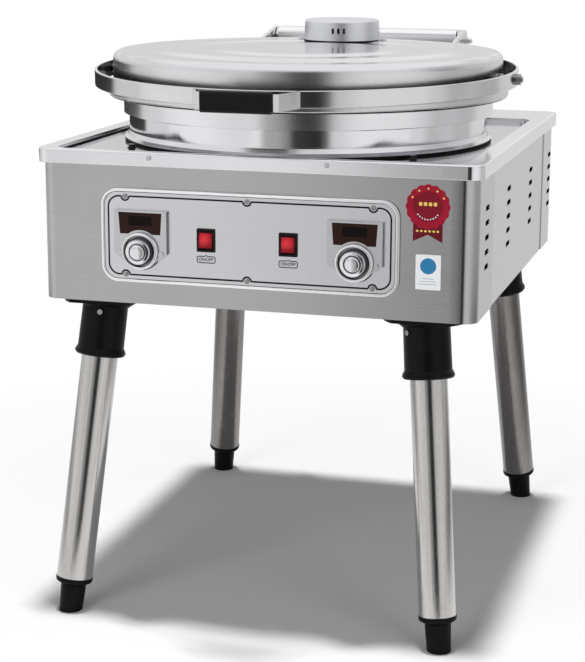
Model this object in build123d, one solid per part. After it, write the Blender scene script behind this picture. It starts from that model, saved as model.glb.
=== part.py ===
from build123d import *
import os
from math import asin, copysign, cos, degrees, pi, radians, sqrt, tan

# Free-standing double-sided electric griddle: a stainless cabinet on four
# splayed legs, a round lower pan in its deck, and an upper pan that tips a
# little in a hoop, which swings up on a hinge at the back of the deck.
# Millimetres, +Z up, front towards -Y. Each piece is drawn about the centre
# of the deck, with the floor at z = 0, and the whole is shifted along Y at
# the end, so that the origin is the bottom centre of the bounding box.

# ---- cabinet and deck ----
DECK_TOP = 650.0          # floor to the deck's rim
DECK_SKIRT = 19.0
DECK_SHEET = 1.5
DECK_CORNER = 20.0
DECK_EDGE = 3.0           # rounding of the deck's upper edge
TRAY_FRONT = 10.0         # width of the raised rim at the front
TRAY_RIM = 24.0           # and at the sides
TRAY_BACK = 126.0         # width of the raised platform at the back
TRAY_DEEP = 6.0
TRAY_CORNER = 20.0
PAN_FRONT_GAP = 5.5       # tray's edge to the pan's flare, at the front
PAN_SIDE_GAP = 18.0       # at the sides
PAN_BACK_GAP = 14.5       # and at the back
SKIRT_SCREW_DROP = 8.0
SKIRT_FRONT_SCREWS_X = (-142.0, 101.0)
SKIRT_REAR_SCREWS_X = (-142.0, 142.0)
CABINET_INSET = 6.0       # deck overhang all round
CABINET_BOTTOM = 443.5
CABINET_SHEET = 1.2
CABINET_CORNER = 20.0
FRONT_WRAP_DEEP = 117.0   # front wall to the front seam
REAR_WRAP_DEEP = 98.0     # rear wall to the rear seam
SEAM_LAP = 10.0
BOTTOM_SHEET = 1.5
PANEL_GAP = 0.2           # between the bottom plate and the walls

# ---- side vents ----
VENT_LONG = 30.0
VENT_HIGH = 7.0
VENT_FRONT_IN = 69.0      # front wall to the first column's middle
VENT_SEAM_BACK = 131.0    # front seam to the second
VENT_SEAM_FRONT = 123.0   # rear seam to the third
VENT_REAR_IN = 36.0       # rear wall to the last
VENT_ROWS = 5
VENT_PITCH = 19.5
VENT_TOP_DROP = 64.0      # deck rim to the top row

# ---- legs ----
LEG_IN_X = 74.0           # side wall to the leg's axis at the cabinet's bottom
LEG_IN_Y = 46.0           # front or rear wall to it
LEG_SPLAY_X = 39.0        # how far the axis leans out on its way to the floor
LEG_SPLAY_Y = 61.0
LEG_TUBE_R = 25.0
LEG_TUBE_WALL = 1.5
SOCKET_FLANGE_R = 58.0
SOCKET_FLANGE_T = 5.0
SOCKET_R = 31.3
SOCKET_LIP_R = 35.0
SOCKET_LONG = 84.0
SOCKET_BORE_TOP = 14.0    # solid plastic above the tube's end
SOCKET_CONE = 11.0
SOCKET_FIT = 0.1
SOCKET_SCREW_DROP = 22.0
BRACKET_SIDE = 104.0
BRACKET_T = 4.0
BRACKET_OUT_X = 8.0       # the plate's middle from the leg's axis, towards the side
BRACKET_IN_Y = 10.0       # and towards the middle of the cabinet
PLUG_RIM_R = 25.6
PLUG_RIM_H = 10.0
PLUG_SPIGOT = 28.0
FOOT_HEIGHT = 38.0        # floor to the plug's underside, along the leg
FOOT_TOP_R = 17.6
FOOT_BASE_R = 16.2
FOOT_GAP = 0.3
STUD_R = 5.0
STUD_LONG = 30.0
STUD_RUNNING = 0.05

# ---- control panel ----
PANEL_X = -6.5
PANEL_WIDTH = 409.5
PANEL_HIGH = 128.0
PANEL_DROP = 113.0        # deck rim to the panel's middle
PANEL_CORNER = 24.0
PANEL_RAISE = 5.0
PANEL_EDGE = 3.5
PANEL_SHEET = 1.5
PANEL_SCREW_IN_X = 34.75  # panel's edge to the outer screws
PANEL_SCREW_IN_Z = 11.0
CONTROL_IN = 57.75        # panel's edge to the knob's axis
CONTROL_DROP = 132.0      # deck rim to the knobs' axes
KNOB_R = 19.5
KNOB_LONG = 14.0
KNOB_SHAFT_R = 3.0
KNOB_SHAFT_LONG = 18.0
KNOB_RUNNING = 0.05
COLLAR_R = 25.5
COLLAR_HIGH = 9.0
HOUSING_WIDE = 74.0
HOUSING_UP = 54.0         # knob axis to the housing's upper edge
HOUSING_RAISE = 6.0
HOUSING_BACK = 45.0
NECK_WIDE = 60.0          # controller body behind the panel
NECK_HIGH = 48.0
CONTROL_FIT = 0.2
LUG_X = 29.0
LUG_DROP = 3.0
LUG_R = 3.5
WINDOW_WIDE = 61.0
WINDOW_FOOT = 57.0
WINDOW_HIGH = 29.0
WINDOW_UP = 51.5          # knob axis to the window's upper edge
WINDOW_ARC_R = 28.0
WINDOW_T = 2.0
SWITCH_IN = 90.5          # knob's axis to the switch's middle
SWITCH_DROP = 114.0
BEZEL_WIDE = 25.5
BEZEL_HIGH = 31.5
BEZEL_T = 2.0
SWITCH_BODY_WIDE = 23.4
SWITCH_BODY_HIGH = 28.5
SWITCH_BACK = 32.0
ROCKER_WIDE = 18.6
ROCKER_HIGH = 23.0
ROCKER_GAP = 0.45
ROCKER_DEEP = 6.0         # behind the panel's face
ROCKER_PIVOT = 1.5
ROCKER_TILT = 7.0         # each way from level
ROCKER_PIN_R = 1.5
ROCKER_PIN_LONG = 1.4
ROCKER_RUNNING = 0.05

# ---- lower pan ----
CASING_R = 256.0
CASING_STEP = 7.5         # how far the casing widens above its step
CASING_FLARE = 7.0        # and at its foot
CASING_SHEET = 1.5
CASING_STEP_Z = 32.0      # heights above the deck's rim from here on
CASING_TOP_Z = 56.0
CASING_FLARE_Z = -1.0     # upper face of the flare's lip
PLATE_OVERHANG = 21.5     # the plate's rim beyond the casing
PLATE_RIM_WIDE = 35.0     # rim's outside to the dished floor
PLATE_FLOOR_Z = 52.0
PLATE_T = 12.0
PLATE_RIM_Z = 72.0
PLATE_FIT = 0.5
ELEMENT_TUBE_R = 4.0
ELEMENT_RINGS = 3
ELEMENT_EDGE = 40.0       # the plate's floor edge to the outer ring
ELEMENT_PITCH = 65.0
ELEMENT_PIN_R = 2.5
ELEMENT_COLLAR_R = 4.5
ELEMENT_COLLAR_LONG = 8.0
ELEMENT_PIN_DX = 12.0
ELEMENT_PIN_LONG = 24.0
SHIELD_IN = 10.0          # the hole's edge to the shield's wall
SHIELD_DEEP = 24.0
SHIELD_SHEET = 1.2
DECK_LEDGE = 11.0         # the deck under the casing's foot
PAN_BOLT_OUT = 15.0       # beyond the casing's flare
PAN_BOLT_R = 5.0
PAN_BOLT_HEAD = 4.0
PAN_BOLT_WASHER = 1.2
PAN_BOLT_LONG = 9.0

# ---- hinge ----
HINGE_INSET = 36.0        # deck's back edge to the shaft
HINGE_Z = 111.0
HINGE_EAR_R = 17.0
HINGE_EAR_T = 5.0
HINGE_EAR_X = 146.5       # inner face of each bearing bracket
SHAFT_R = 7.0
SHAFT_RUNNING = 0.05
SHAFT_NECK_R = 3.0
ARM_T = 6.0
ARM_GAP = 1.0
NUT_FLATS = 10.0
NUT_LONG = 11.0
SPRING_WIRE_R = 3.0
SPRING_GAP = 0.35
SPRING_PITCH = 7.5
SPRING_TURNS = 12
SPRING_END = 8.0          # spring to ear
COVER_HALF_DEEP = 20.0
COVER_SHEET = 1.2
COVER_CORNER = 8.0

# ---- hoop and handle ----
HOOP_CLEAR = 23.0         # the upper pan's skirt to the hoop's outside
HOOP_T = 4.0
HOOP_BAND = 22.3
HOOP_FORWARD = 8.4        # the hoop's middle, ahead of the upper pan's
HOOP_Z = 85.5
HOOP_TILT = 1.54          # degrees, back edge higher
HANDLE_FOOT_X = 72.0
HANDLE_BEND_X = 56.0
HANDLE_OUT = 33.0         # hoop's front to the strap's outer face
STRAP_T = 3.0
GRIP_HALF_LONG = 46.5
GRIP_T = 17.0
GRIP_HIGH = 28.0
GRIP_GROOVES = 5
GRIP_GROOVE_DEEP = 0.8
PIVOT_R = 4.0
PIVOT_RUNNING = 0.05
PIVOT_NUT_R = 6.5
PIVOT_HEAD_R = 5.5
PIVOT_HEAD_T = 2.5
PIVOT_OUT = 10.0          # bolt end beyond the hoop

# ---- upper pan ----
LID_FORWARD = 2.5         # the upper pan's axis, ahead of the lower pan's
LID_IN = 8.0              # lower plate's rim to the upper pan's skirt
LID_SHEET = 1.2
LID_BOTTOM_Z = 78.5
LID_TOP_Z = 121.0
LID_SHOULDER_R = 12.0     # rounding between skirt and crown
LID_EDGE_DROP = 2.0       # middle of the crown to the shoulder's top
LID_RIPPLED = 167.0       # width of the rippled part of the crown, from the skirt in
LID_RIPPLE = 1.4
LID_RIPPLE_PITCH = 80.0
LID_HEM = 9.0
UPPER_FACE_Z = 70.0
UPPER_PLATE_T = 12.0
UPPER_PLATE_IN = 27.0     # cover's skirt to the cast plate's edge
UPPER_FLANGE_T = 4.0
UPPER_FLANGE_GAP = 0.5
CAP_INSET = 82.0          # the upper pan's back edge to the cap's axis
CAP_R = 58.0
CAP_TOP_R = 56.0
CAP_TOP_Z = 151.5
CAP_SHEET = 1.2
CAP_ROUND = 4.0
CAP_SEAT = 0.15
CAP_TAB_LONG = 11.0
CAP_TAB_WIDE = 16.0
CAP_SLOT_WIDE = 3.5
CAP_SLOT_HIGH = 8.0
CAP_SLOT_ANGLE = 8.5      # degrees between slots

# ---- fasteners and electrics ----
SCREW_HEAD_R = 3.6
SCREW_HEAD_T = 2.0
SCREW_SHANK_R = 1.9
SCREW_LONG = 8.0
GLAND_FROM_LEG = 115.0    # the rear left leg's axis to the gland's
GLAND_UP = 50.0           # above the cabinet's bottom
GLAND_HOLE_R = 10.0
GLAND_BORE_R = 6.0
GLAND_HEAD_R = 15.0
GLAND_OUT = 16.0
GLAND_IN = 12.0
BOARD_WIDE = 220.0
BOARD_HIGH = 110.0
BOARD_T = 2.0
BOARD_FOOT = 30.0
BOARD_IN = 185.0          # rear wall to the board
RELAY_WIDE = 45.0
RELAY_HIGH = 75.0
RELAY_DEEP = 78.0
RELAY_DX = 55.0
BLOCK_LONG = 90.0
BLOCK_IN = 70.0           # rear wall to the block's middle
BLOCK_WAYS = 6

# ---- worked out from the above ----
CASING_UPPER_R = CASING_R + CASING_STEP
CASING_FLARE_R = CASING_R + CASING_FLARE
DECK_HOLE_R = CASING_R - DECK_LEDGE
SHIELD_R = DECK_HOLE_R - SHIELD_IN
PLATE_RIM_R = CASING_UPPER_R + PLATE_OVERHANG
PLATE_FLOOR_R = PLATE_RIM_R - PLATE_RIM_WIDE
LID_R = PLATE_RIM_R - LID_IN
LID_FLAT_R = LID_R - LID_RIPPLED
UPPER_PLATE_R = LID_R - UPPER_PLATE_IN
HOOP_R = LID_R + HOOP_CLEAR
DECK_WIDTH = 2 * (CASING_FLARE_R + PAN_SIDE_GAP + TRAY_RIM)
DECK_DEPTH = TRAY_FRONT + PAN_FRONT_GAP + 2 * CASING_FLARE_R + PAN_BACK_GAP + TRAY_BACK
PAN_Y = -DECK_DEPTH / 2 + TRAY_FRONT + PAN_FRONT_GAP + CASING_FLARE_R
LID_Y = PAN_Y - LID_FORWARD
HOOP_Y = LID_Y - HOOP_FORWARD
CAP_Y = LID_Y + LID_R - CAP_INSET
HINGE_Y = DECK_DEPTH / 2 - HINGE_INSET
FRONT_Y = -DECK_DEPTH / 2 + CABINET_INSET
REAR_Y = -FRONT_Y
SIDE_X = DECK_WIDTH / 2 - CABINET_INSET
FRONT_SEAM_Y = FRONT_Y + FRONT_WRAP_DEEP
REAR_SEAM_Y = REAR_Y - REAR_WRAP_DEEP
VENT_FRONT_Y = FRONT_Y + VENT_FRONT_IN
VENT_SIDE_YS = (FRONT_SEAM_Y + VENT_SEAM_BACK, REAR_SEAM_Y - VENT_SEAM_FRONT)
VENT_REAR_Y = REAR_Y - VENT_REAR_IN
LEG_TOP_X = SIDE_X - LEG_IN_X
LEG_TOP_Y = REAR_Y - LEG_IN_Y
LEG_FOOT_X = LEG_TOP_X + LEG_SPLAY_X
LEG_FOOT_Y = LEG_TOP_Y + LEG_SPLAY_Y
GLAND_X = GLAND_FROM_LEG - LEG_TOP_X
BOARD_Y = REAR_Y - BOARD_IN
CABINET_TOP = DECK_TOP - DECK_SHEET
PANEL_Z = DECK_TOP - PANEL_DROP
PANEL_FACE_Y = FRONT_Y - PANEL_RAISE
PANEL_SCREW_DX = PANEL_WIDTH / 2 - PANEL_SCREW_IN_X
PANEL_SCREW_DZ = PANEL_HIGH / 2 - PANEL_SCREW_IN_Z
CONTROL_DX = PANEL_WIDTH / 2 - CONTROL_IN
SWITCH_DX = CONTROL_DX - SWITCH_IN
KNOB_Z = DECK_TOP - CONTROL_DROP
NECK_UP = (HOUSING_UP - COLLAR_R) / 2
SWITCH_Z = DECK_TOP - SWITCH_DROP
TRAY_Z = DECK_TOP - TRAY_DEEP
HINGE_AXIS_Z = DECK_TOP + HINGE_Z
HOOP_AXIS_Z = DECK_TOP + HOOP_Z
ARM_X = HINGE_EAR_X + HINGE_EAR_T + ARM_GAP
FAR = DECK_TOP + DECK_WIDTH + DECK_DEPTH
CORNERS = {"front_left": (-1, -1), "front_right": (1, -1), "rear_left": (-1, 1), "rear_right": (1, 1)}
SIDES = {"left": -1, "right": 1}
SCREW_TURN = {"front_left": 9.0, "front_right": -41.0, "rear_left": 171.0, "rear_right": 139.0}


# ---- drawing helpers ----
def side_on(sketch, thick):
    """A sketch stood in the YZ plane, its x along Y, and extruded towards +X."""
    return Plane.YZ.location * extrude(sketch, thick)


def block(x0, x1, y0, y1, z0, z1):
    """A box between two corners."""
    return Pos((x0 + x1) / 2, (y0 + y1) / 2, (z0 + z1) / 2) * Box(x1 - x0, y1 - y0, z1 - z0)


def rod(radius, start, end):
    """A round bar from one point to another."""
    start, end = Vector(start), Vector(end)
    along = end - start
    frame = Plane(origin=start, z_dir=along)
    return frame.location * Pos(0, 0, along.length / 2) * Cylinder(radius, along.length)


def hexagon(flats, start, end):
    """A hexagonal bar from one point to another, measured across its flats."""
    start, end = Vector(start), Vector(end)
    along = end - start
    frame = Plane(origin=start, z_dir=along)
    return frame.location * extrude(RegularPolygon(flats / 2, 6, major_radius=False), along.length)


def turned(points, rounds=()):
    """Turn an outline of (radius, height) points about Z; rounds are (point, radius)."""
    face = make_face(Polyline(*points, close=True)).face()
    for index, radius in rounds:
        corner = face.vertices().sort_by_distance((points[index][0], points[index][1], 0))[0]
        face = face.fillet_2d(radius, [corner])
    return Rot(90, 0, 0) * revolve(face, Axis.Y)


def rounded_plate(wide, deep, corner, z0, z1):
    """A flat plate with rounded corners, about the Z axis."""
    return Pos(0, 0, z0) * extrude(RectangleRounded(wide, deep, corner), z1 - z0)


def rounded_tile(wide, high, corner, thick):
    """A plate that stands in the XZ plane, from y = 0 towards -Y."""
    return Rot(90, 0, 0) * extrude(RectangleRounded(wide, high, corner), thick)


def screw(x, y, z, turn=0.0):
    """A pan-head screw whose head lies on a face that looks along -Y, turned about Z."""
    head = rod(SCREW_HEAD_R, (0, 0, 0), (0, -SCREW_HEAD_T, 0))
    head = fillet(head.edges().filter_by(GeomType.CIRCLE).sort_by(Axis.Y)[0], SCREW_HEAD_T * 0.7)
    slot = Pos(0, -SCREW_HEAD_T, 0) * Box(SCREW_HEAD_R * 1.3, 1.2, 0.9)
    shank = rod(SCREW_SHANK_R, (0, 0, 0), (0, SCREW_LONG, 0))
    return Pos(x, y, z) * Rot(0, 0, turn) * (head - slot - Rot(0, 90, 0) * slot + shank)


def screw_hole(x, y, z, turn=0.0):
    """The hole that a screw's shank passes through."""
    bore = rod(SCREW_SHANK_R, (0, -1, 0), (0, SCREW_LONG + 1, 0))
    return Pos(x, y, z) * Rot(0, 0, turn) * bore


# ---- cabinet and deck ----
def cabinet_ring():
    """The closed band from which the front and rear wraps are cut."""
    wide, deep = 2 * SIDE_X, 2 * REAR_Y
    outside = rounded_plate(wide, deep, CABINET_CORNER, CABINET_BOTTOM, CABINET_TOP)
    inside = rounded_plate(
        wide - 2 * CABINET_SHEET,
        deep - 2 * CABINET_SHEET,
        CABINET_CORNER - CABINET_SHEET,
        CABINET_BOTTOM,
        CABINET_TOP,
    )
    return outside - inside


def vents(column_y, side):
    """One column of slots through a side wall."""
    slot = side_on(SlotOverall(VENT_LONG, VENT_HIGH), 20 * CABINET_SHEET)
    x = side * SIDE_X - 10 * CABINET_SHEET
    top = DECK_TOP - VENT_TOP_DROP
    return [Pos(x, column_y, top - row * VENT_PITCH) * slot for row in range(VENT_ROWS)]


def control_openings():
    """The ways through the front wall behind the controllers and switches."""
    cuts = []
    for side in SIDES.values():
        neck = Box(NECK_WIDE + 2 * CONTROL_FIT, 40, NECK_HIGH + 2 * CONTROL_FIT)
        cuts.append(Pos(PANEL_X + side * CONTROL_DX, FRONT_Y, KNOB_Z + NECK_UP) * neck)
        body = Box(SWITCH_BODY_WIDE + 2 * CONTROL_FIT, 40, SWITCH_BODY_HIGH + 2 * CONTROL_FIT)
        cuts.append(Pos(PANEL_X + side * SWITCH_DX, FRONT_Y, SWITCH_Z) * body)
    return cuts


def panel_screw_places():
    """Where the six panel screws stand, as (x, z)."""
    return [(PANEL_X + dx, PANEL_Z + dz)
            for dx in (-PANEL_SCREW_DX, 0, PANEL_SCREW_DX) for dz in (-PANEL_SCREW_DZ, PANEL_SCREW_DZ)]


def skirt_screw_places():
    """The skirt's screws, as (x, y, turn)."""
    half = DECK_DEPTH / 2
    front = [(x, -half, 0) for x in SKIRT_FRONT_SCREWS_X]
    return front + [(x, half, 180) for x in SKIRT_REAR_SCREWS_X]


def front_wrap():
    """Front wall, its rounded corners and the first stretch of each side."""
    keep = block(-SIDE_X, SIDE_X, FRONT_Y, FRONT_SEAM_Y, CABINET_BOTTOM, CABINET_TOP)
    wall = cabinet_ring() & keep
    for side in SIDES.values():
        wall -= vents(VENT_FRONT_Y, side)
    wall -= control_openings()
    wall -= [screw_hole(x, PANEL_FACE_Y, z) for x, z in panel_screw_places()]
    skirt_z = DECK_TOP - SKIRT_SCREW_DROP
    wall -= [screw_hole(x, y, skirt_z, turn) for x, y, turn in skirt_screw_places() if y < 0]
    return wall


def rear_wrap():
    """Rear wall with the cable inlet's hole, and the last stretch of each side."""
    keep = block(-SIDE_X, SIDE_X, REAR_SEAM_Y, REAR_Y, CABINET_BOTTOM, CABINET_TOP)
    wall = cabinet_ring() & keep
    for side in SIDES.values():
        wall -= vents(VENT_REAR_Y, side)
    gland_z = CABINET_BOTTOM + GLAND_UP
    wall -= rod(GLAND_HOLE_R, (GLAND_X, REAR_Y - 20, gland_z), (GLAND_X, REAR_Y + 20, gland_z))
    skirt_z = DECK_TOP - SKIRT_SCREW_DROP
    wall -= [screw_hole(x, y, skirt_z, turn) for x, y, turn in skirt_screw_places() if y > 0]
    return wall


def side_panel(side):
    """A flat side panel, lapped behind both wraps."""
    outer = side * (SIDE_X - CABINET_SHEET)
    inner = side * (SIDE_X - 2 * CABINET_SHEET)
    panel = block(
        min(inner, outer),
        max(inner, outer),
        FRONT_SEAM_Y - SEAM_LAP,
        REAR_SEAM_Y + SEAM_LAP,
        CABINET_BOTTOM + BOTTOM_SHEET,
        CABINET_TOP,
    )
    for column_y in VENT_SIDE_YS:
        panel -= vents(column_y, side)
    return panel


def bottom_plate():
    """The cabinet's floor, which fits inside the wraps."""
    gap = CABINET_SHEET + PANEL_GAP
    corner = CABINET_CORNER - gap
    top = CABINET_BOTTOM + BOTTOM_SHEET
    return rounded_plate(2 * (SIDE_X - gap), 2 * (REAR_Y - gap), corner, CABINET_BOTTOM, top)


def tray_outline(grow=0.0):
    """Width, depth and middle y of the deck's sunk tray."""
    wide = DECK_WIDTH - 2 * TRAY_RIM + 2 * grow
    front = -DECK_DEPTH / 2 + TRAY_FRONT - grow
    back = DECK_DEPTH / 2 - TRAY_BACK + grow
    return wide, back - front, (back + front) / 2


def deck():
    """The worktop: a skirted sheet with a raised rim round a sunk tray."""
    base = DECK_TOP - DECK_SKIRT
    top = rounded_plate(DECK_WIDTH, DECK_DEPTH, DECK_CORNER, base, DECK_TOP)
    top = fillet(top.faces().sort_by(Axis.Z)[-1].edges(), DECK_EDGE)
    inside = rounded_plate(
        DECK_WIDTH - 2 * DECK_SHEET,
        DECK_DEPTH - 2 * DECK_SHEET,
        DECK_CORNER - DECK_SHEET,
        base,
        DECK_TOP - DECK_SHEET,
    )
    top -= fillet(inside.faces().sort_by(Axis.Z)[-1].edges(), DECK_EDGE - DECK_SHEET)
    wide, deep, middle = tray_outline(DECK_SHEET)
    floor_z = TRAY_Z - DECK_SHEET
    top += Pos(0, middle, 0) * rounded_plate(wide, deep, TRAY_CORNER + DECK_SHEET, floor_z, DECK_TOP - DECK_SHEET / 2)
    wide, deep, middle = tray_outline()
    top -= Pos(0, middle, 0) * rounded_plate(wide, deep, TRAY_CORNER, TRAY_Z, DECK_TOP + 1)
    top -= rod(DECK_HOLE_R, (0, PAN_Y, TRAY_Z - 10), (0, PAN_Y, TRAY_Z + 10))
    skirt_z = DECK_TOP - SKIRT_SCREW_DROP
    top -= [screw_hole(x, y, skirt_z, turn) for x, y, turn in skirt_screw_places()]
    top -= [rod(PAN_BOLT_R / 2, (x, y, TRAY_Z - 10), (x, y, TRAY_Z + 1)) for x, y in pan_bolt_places()]
    return top


def pan_bolt_places():
    """Four hold-down bolts just outside the casing's flare."""
    reach = (CASING_FLARE_R + PAN_BOLT_OUT) / sqrt(2)
    return [(sx * reach, PAN_Y + sy * reach) for sx, sy in CORNERS.values()]


def deck_screws():
    """Skirt screws and the pan's hold-down bolts."""
    skirt_z = DECK_TOP - SKIRT_SCREW_DROP
    pieces = [screw(x, y, skirt_z, turn) for x, y, turn in skirt_screw_places()]
    for x, y in pan_bolt_places():
        seat = TRAY_Z + PAN_BOLT_WASHER
        head = hexagon(1.7 * PAN_BOLT_R, (x, y, seat), (x, y, seat + PAN_BOLT_HEAD))
        washer = rod(PAN_BOLT_R * 1.2, (x, y, TRAY_Z), (x, y, seat))
        shank = rod(PAN_BOLT_R / 2, (x, y, TRAY_Z - PAN_BOLT_LONG), (x, y, TRAY_Z))
        pieces.append(head + washer + shank)
    return pieces


# ---- legs ----
def leg_length():
    """Along the leg, from the cabinet's bottom to the floor."""
    return sqrt((LEG_FOOT_X - LEG_TOP_X) ** 2 + (LEG_FOOT_Y - LEG_TOP_Y) ** 2 + CABINET_BOTTOM**2)


def leg_frame(corner):
    """The leg's own axes: z runs up the leg and is 0 at the cabinet's bottom."""
    sx, sy = CORNERS[corner]
    up = Vector(sx * (LEG_TOP_X - LEG_FOOT_X), sy * (LEG_TOP_Y - LEG_FOOT_Y), CABINET_BOTTOM)
    return Plane(origin=(sx * LEG_TOP_X, sy * LEG_TOP_Y, CABINET_BOTTOM), x_dir=(1, 0, 0), z_dir=up)


def below(shape, z):
    """What lies under a level."""
    return shape & block(-FAR, FAR, -FAR, FAR, -FAR, z)


def leg_socket(corner):
    """Moulded socket: a flange under the cabinet, a cone and a sleeve with a lip."""
    sx, sy = CORNERS[corner]
    frame = leg_frame(corner).location
    cone_foot = -SOCKET_FLANGE_T - SOCKET_CONE
    lip = -SOCKET_LONG
    outline = [
        (0, 20),
        (SOCKET_FLANGE_R - 8, 20),
        (SOCKET_FLANGE_R - 8, -SOCKET_FLANGE_T + 4),
        (SOCKET_R, cone_foot),
        (SOCKET_R + 0.6, lip + 11),
        (SOCKET_LIP_R, lip + 5),
        (SOCKET_LIP_R, lip + 2.5),
        (SOCKET_LIP_R - 2, lip),
        (0, lip),
    ]
    sleeve = below(frame * turned(outline, ((5, 2.0), (3, 3.0))), CABINET_BOTTOM)
    flange_low = CABINET_BOTTOM - SOCKET_FLANGE_T
    centre = (sx * LEG_TOP_X, sy * LEG_TOP_Y)
    flange = rod(SOCKET_FLANGE_R, (*centre, flange_low), (*centre, CABINET_BOTTOM))
    flange &= block(-SIDE_X + 1, SIDE_X - 1, FRONT_Y + 1, REAR_Y - 1, flange_low, CABINET_BOTTOM)
    bore = frame * rod(LEG_TUBE_R + SOCKET_FIT, (0, 0, lip - 1), (0, 0, -SOCKET_BORE_TOP))
    return sleeve + flange - bore - frame * socket_screw_hole(corner)


def socket_screw_hole(corner):
    """Across the sleeve's wall, in the leg's own axes."""
    turn = SCREW_TURN[corner]
    out = Rot(0, 0, turn) * Pos(0, -SOCKET_R, -SOCKET_SCREW_DROP)
    return out * rod(SCREW_SHANK_R, (0, -5, 0), (0, SOCKET_R - LEG_TUBE_R + 0.5, 0))


def socket_screws():
    """The screw that locks each tube in its socket."""
    pieces = []
    for corner in CORNERS:
        head = rod(SCREW_HEAD_R, (0, -SCREW_HEAD_T - 0.4, 0), (0, -0.4, 0))
        shank = rod(SCREW_SHANK_R, (0, -0.5, 0), (0, SOCKET_R - LEG_TUBE_R - 0.3, 0))
        slot = Pos(0, -SCREW_HEAD_T - 0.4, 0) * Box(SCREW_HEAD_R * 1.3, 1.2, 0.9)
        bolt = head + shank - slot - Rot(0, 90, 0) * slot
        place = Rot(0, 0, SCREW_TURN[corner]) * Pos(0, -SOCKET_R, -SOCKET_SCREW_DROP)
        pieces.append(leg_frame(corner).location * place * bolt)
    return pieces


def leg_tube(corner):
    """Round stainless tube from the socket to the plug."""
    low = -leg_length() + FOOT_HEIGHT + PLUG_RIM_H
    outside = rod(LEG_TUBE_R, (0, 0, low), (0, 0, -SOCKET_BORE_TOP))
    bore = rod(LEG_TUBE_R - LEG_TUBE_WALL, (0, 0, low - 1), (0, 0, -SOCKET_BORE_TOP + 1))
    return leg_frame(corner).location * (outside - bore)


def leg_plug(corner):
    """Plastic plug in the tube's lower end, threaded for the foot's stud."""
    low = -leg_length() + FOOT_HEIGHT
    rim = low + PLUG_RIM_H
    spigot_r = LEG_TUBE_R - LEG_TUBE_WALL - SOCKET_FIT
    outline = [
        (STUD_R + STUD_RUNNING, low),
        (FOOT_TOP_R + 1.5, low),
        (PLUG_RIM_R, low + 4),
        (PLUG_RIM_R, rim),
        (spigot_r, rim),
        (spigot_r - 1, rim + PLUG_SPIGOT),
        (STUD_R + STUD_RUNNING, rim + PLUG_SPIGOT),
    ]
    return leg_frame(corner).location * turned(outline, ((2, 3.5),))


def foot(corner):
    """Screw foot: a tapered bumper on a stud, cut level at the floor."""
    floor = -leg_length()
    top = floor + FOOT_HEIGHT - FOOT_GAP
    outline = [
        (0, floor - 10),
        (FOOT_BASE_R, floor - 10),
        (FOOT_BASE_R, floor + 4),
        (FOOT_TOP_R, top - 6),
        (FOOT_TOP_R, top),
        (STUD_R, top),
        (STUD_R, top + STUD_LONG),
        (0, top + STUD_LONG),
    ]
    return leg_frame(corner).location * turned(outline, ((4, 1.5),)) & block(-FAR, FAR, -FAR, FAR, 0, FAR)


def leg_brackets():
    """Thick plates on the cabinet's floor, over each socket."""
    base = CABINET_BOTTOM + BOTTOM_SHEET
    plate = rounded_plate(BRACKET_SIDE, BRACKET_SIDE, 8, base, base + BRACKET_T)
    bolt = hexagon(10, (0, 0, base + BRACKET_T), (0, 0, base + BRACKET_T + 5))
    reach = BRACKET_SIDE / 2 - 14
    for sx, sy in CORNERS.values():
        plate += Pos(sx * reach, sy * reach, 0) * bolt
    x, y = LEG_TOP_X + BRACKET_OUT_X, LEG_TOP_Y - BRACKET_IN_Y
    return [Pos(sx * x, sy * y, 0) * plate for sx, sy in CORNERS.values()]


# ---- control panel ----
def control_plate():
    """The raised plate that carries the controls."""
    plate = rounded_tile(PANEL_WIDTH, PANEL_HIGH, PANEL_CORNER, PANEL_RAISE)
    plate = fillet(plate.faces().sort_by(Axis.Y)[0].edges(), PANEL_EDGE)
    hollow = (PANEL_WIDTH - 2 * PANEL_SHEET, PANEL_HIGH - 2 * PANEL_SHEET, PANEL_CORNER - PANEL_SHEET)
    inside = rounded_tile(*hollow, PANEL_RAISE - PANEL_SHEET)
    plate -= fillet(inside.faces().sort_by(Axis.Y)[0].edges(), PANEL_EDGE - PANEL_SHEET)
    plate = Pos(PANEL_X, FRONT_Y, PANEL_Z) * plate
    plate -= control_openings()
    return plate - [screw_hole(x, PANEL_FACE_Y, z) for x, z in panel_screw_places()]


def panel_screws():
    """Six screws round the panel."""
    return [screw(x, PANEL_FACE_Y, z) for x, z in panel_screw_places()]


def window_face(gap=0.0):
    """A display window's outline: a trapezoid with an arc cut from its foot."""
    half, foot_half = WINDOW_WIDE / 2 - gap, WINDOW_FOOT / 2 - gap
    top, low = WINDOW_UP - gap, WINDOW_UP - WINDOW_HIGH + gap
    shape = make_face(Polyline((-half, top), (half, top), (foot_half, low), (-foot_half, low), close=True))
    return shape - Circle(WINDOW_ARC_R + gap)


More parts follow.
